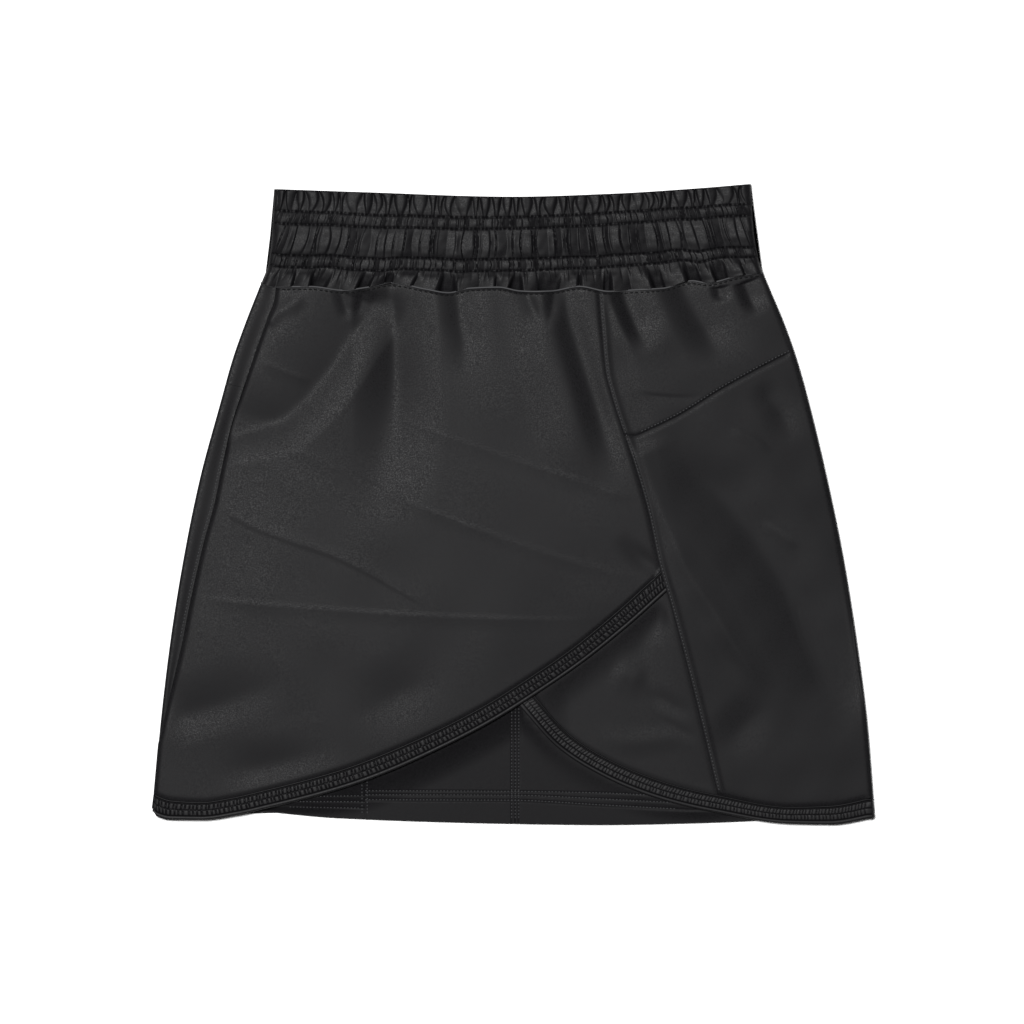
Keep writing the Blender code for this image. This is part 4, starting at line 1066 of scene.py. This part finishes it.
def stitchRow(name, line, over, slot, kind="seam"):
    made = sewing[kind]
    radius = made["radius"]
    dice = np.random.default_rng(len(name))
    places = spaced(line, made["pitch"])
    height = surfaceOver(over)
    points, faces = [], []
    for here, after in zip(places[:-1], places[1:]):
        ahead = (after - here) / np.hypot(*(after - here))
        side = np.array([-ahead[1], ahead[0]])
        middle = here + ahead * dice.uniform(-0.12, 0.12)
        half = 0.5 * made["length"] * dice.uniform(0.88, 1.08)
        ends = [height(*(middle + ahead * half * k)) for k in (-1, 0, 1)]
        if None in ends:
            continue
        start = len(points)
        for s, share in stitchRings:
            z = np.interp(s, (-1, 0, 1), ends) + made["lift"] * (1 - s * s) - 0.35 * radius * s * s
            for a in np.arange(stitchSides) * 2 * np.pi / stitchSides:
                flat = middle + ahead * half * s + side * radius * share * np.cos(a)
                points.append((flat[0], flat[1], z + radius * share * np.sin(a)))
        for r in range(len(stitchRings) - 1):
            for k in range(stitchSides):
                a, b = start + stitchSides * r + k, start + stitchSides * r + (k + 1) % stitchSides
                faces.append((a, b, b + stitchSides, a + stitchSides))
        faces.append(tuple(range(start + stitchSides - 1, start - 1, -1)))
        faces.append(tuple(range(len(points) - stitchSides, len(points))))
    return addMesh(name, points, faces, materials[made["material"]], slot, smooth=80)


piping = {
    "halfWidth": 0.5, "halfHeight": 0.45, "lift": 0.5,  # of its section, over the cloth beside it
    "left": -156.5, "right": 155, "columns": 520, "sides": 10,
}


def makePiping():
    height = surfaceOver(["wrapPanel", "sideYoke", "backYoke"])
    x = np.linspace(piping["left"], piping["right"], piping["columns"])
    y = waistSeam(x)
    found = [height(a, b - 1.1) for a, b in zip(x, y)]
    known = np.array([k for k, z in enumerate(found) if z is not None])
    z = np.interp(np.arange(len(x)), known, [found[k] for k in known])
    z = np.convolve(np.pad(z, 3, mode="edge"), np.ones(7) / 7, mode="valid")
    around = np.arange(piping["sides"]) * 2 * np.pi / piping["sides"]
    wide = np.sign(np.cos(around)) * np.abs(np.cos(around)) ** 0.7 * piping["halfWidth"]
    high = np.sign(np.sin(around)) * np.abs(np.sin(around)) ** 0.8 * piping["halfHeight"]
    loops = np.empty((len(x), len(around), 3))
    loops[..., 0] = x[:, None]
    loops[..., 1] = y[:, None] + wide
    loops[..., 2] = z[:, None] + piping["lift"] + high
    # the piping's lighter colour is painted highlight
    return wrappedPiece("waistPiping", loops, materials["pipingPaintedHighlight"], "waistband_fabric")


def along(line, start, end, count=80):
    at = np.linspace(start, end, count)
    return at, line(at)


def across(line, start, end, count=80):
    at, value = along(line, start, end, count)
    return np.stack([at, value], axis=-1)


def upright(line, start, end, count=80):
    at, value = along(line, start, end, count)
    return np.stack([value, at], axis=-1)


sidePieces = ["sideYoke", "sidePanel"]
liningPieces = ["liningSide", "liningLeft", "liningRight"]
pieces["waistPiping"] = makePiping()
stitchRow("stitchesPrincess", upright(shifted(princessSeam, 1.5), 131, -179), sidePieces, "shell_fabric")
stitchRow("stitchesYoke", across(shifted(yokeSeam, 1.7), 80, 173), sidePieces, "shell_fabric")
stitchRow("stitchesLeft", upright(shifted(leftSeam, -1.7), 43, -84), ["backPanel"], "shell_fabric")
stitchRow("stitchesWaist", across(shifted(waistSeam, -1.7), -155, 155), ["wrapPanel", "sideYoke"],
          "shell_fabric", "waist")


def coverRows(name, rows):
    for k, row in enumerate(rows):
        stitchRow(name + str(k), row, liningPieces, "lining_fabric", "cover")


coverRows("stitchesHem", [across(row, -91, 104) for row in coverStitch])
coverRows("stitchesHemLeft", [across(row, -138, -93.5) for row in sideStitch])
coverRows("stitchesMiddle", [upright(straight(at), -108, -197.4) for at in lining["seamStitch"]])
coverRows("stitchesJoin", [upright(straight(at), -170, -194.6) for at in lining["joinStitch"]])
print("stitches sewn")


# Floor, lights and camera.

view = {
    "width": 634.9,  # millimetres of the surface that the picture takes in
    "centre": (-0.62, -4.65),
    "lens": 200, "sensor": 36,
    "above": 4,  # height at which that width is taken
    "clip": (0.05, 50),
    "floorColour": (0.86, 0.86, 0.86), "floorReach": 4.0, "floorDrop": 0.0002,
    "keySize": (1.3, 1.1), "keyPower": 350, "keyPlace": (-0.8, 0.85, 4.4),
    "worldStrength": 0.06,
}


def makeFloor():
    mesh = bpy.data.meshes.new("floor")
    r = view["floorReach"]
    mesh.from_pydata([(-r, -r, 0), (r, -r, 0), (r, r, 0), (-r, r, 0)], [], [(0, 1, 2, 3)])
    floor = bpy.data.objects.new("floor", mesh)
    bpy.context.scene.collection.objects.link(floor)
    floor.location.z = -view["floorDrop"]
    material = bpy.data.materials.new("paleFloor")
    material.use_nodes = True
    shader = material.node_tree.nodes["Principled BSDF"]
    shader.inputs["Base Color"].default_value = (*view["floorColour"], 1)
    shader.inputs["Roughness"].default_value = 0.9
    shader.inputs["Specular IOR Level"].default_value = 0.0
    mesh.materials.append(material)


def makeLight(name, place, size, power, target=(0, 0, 0)):
    data = bpy.data.lights.new(name, "AREA")
    data.shape, data.size, data.size_y, data.energy = "RECTANGLE", size[0], size[1], power
    light = bpy.data.objects.new(name, data)
    bpy.context.scene.collection.objects.link(light)
    light.location = place
    light.rotation_euler = (Vector(target) - Vector(place)).to_track_quat("-Z", "Y").to_euler()


def makeCamera():
    data = bpy.data.cameras.new("camera")
    data.lens, data.sensor_width, data.sensor_fit = view["lens"], view["sensor"], "HORIZONTAL"
    camera = bpy.data.objects.new("camera", data)
    bpy.context.scene.collection.objects.link(camera)
    x, y = view["centre"]
    distance = view["width"] * view["lens"] / view["sensor"]
    camera.location = (x * mm, y * mm, (distance + view["above"]) * mm)
    data.clip_start, data.clip_end = view["clip"]
    bpy.context.scene.camera = camera


makeFloor()
makeLight("keyLight", view["keyPlace"], view["keySize"], view["keyPower"])
world = bpy.data.worlds.new("softRoom")
world.use_nodes = True
world.node_tree.nodes["Background"].inputs["Color"].default_value = (1, 1, 1, 1)
world.node_tree.nodes["Background"].inputs["Strength"].default_value = view["worldStrength"]
bpy.context.scene.world = world
bpy.context.scene.view_settings.view_transform = "Standard"
makeCamera()
print("floor, lights and camera set")
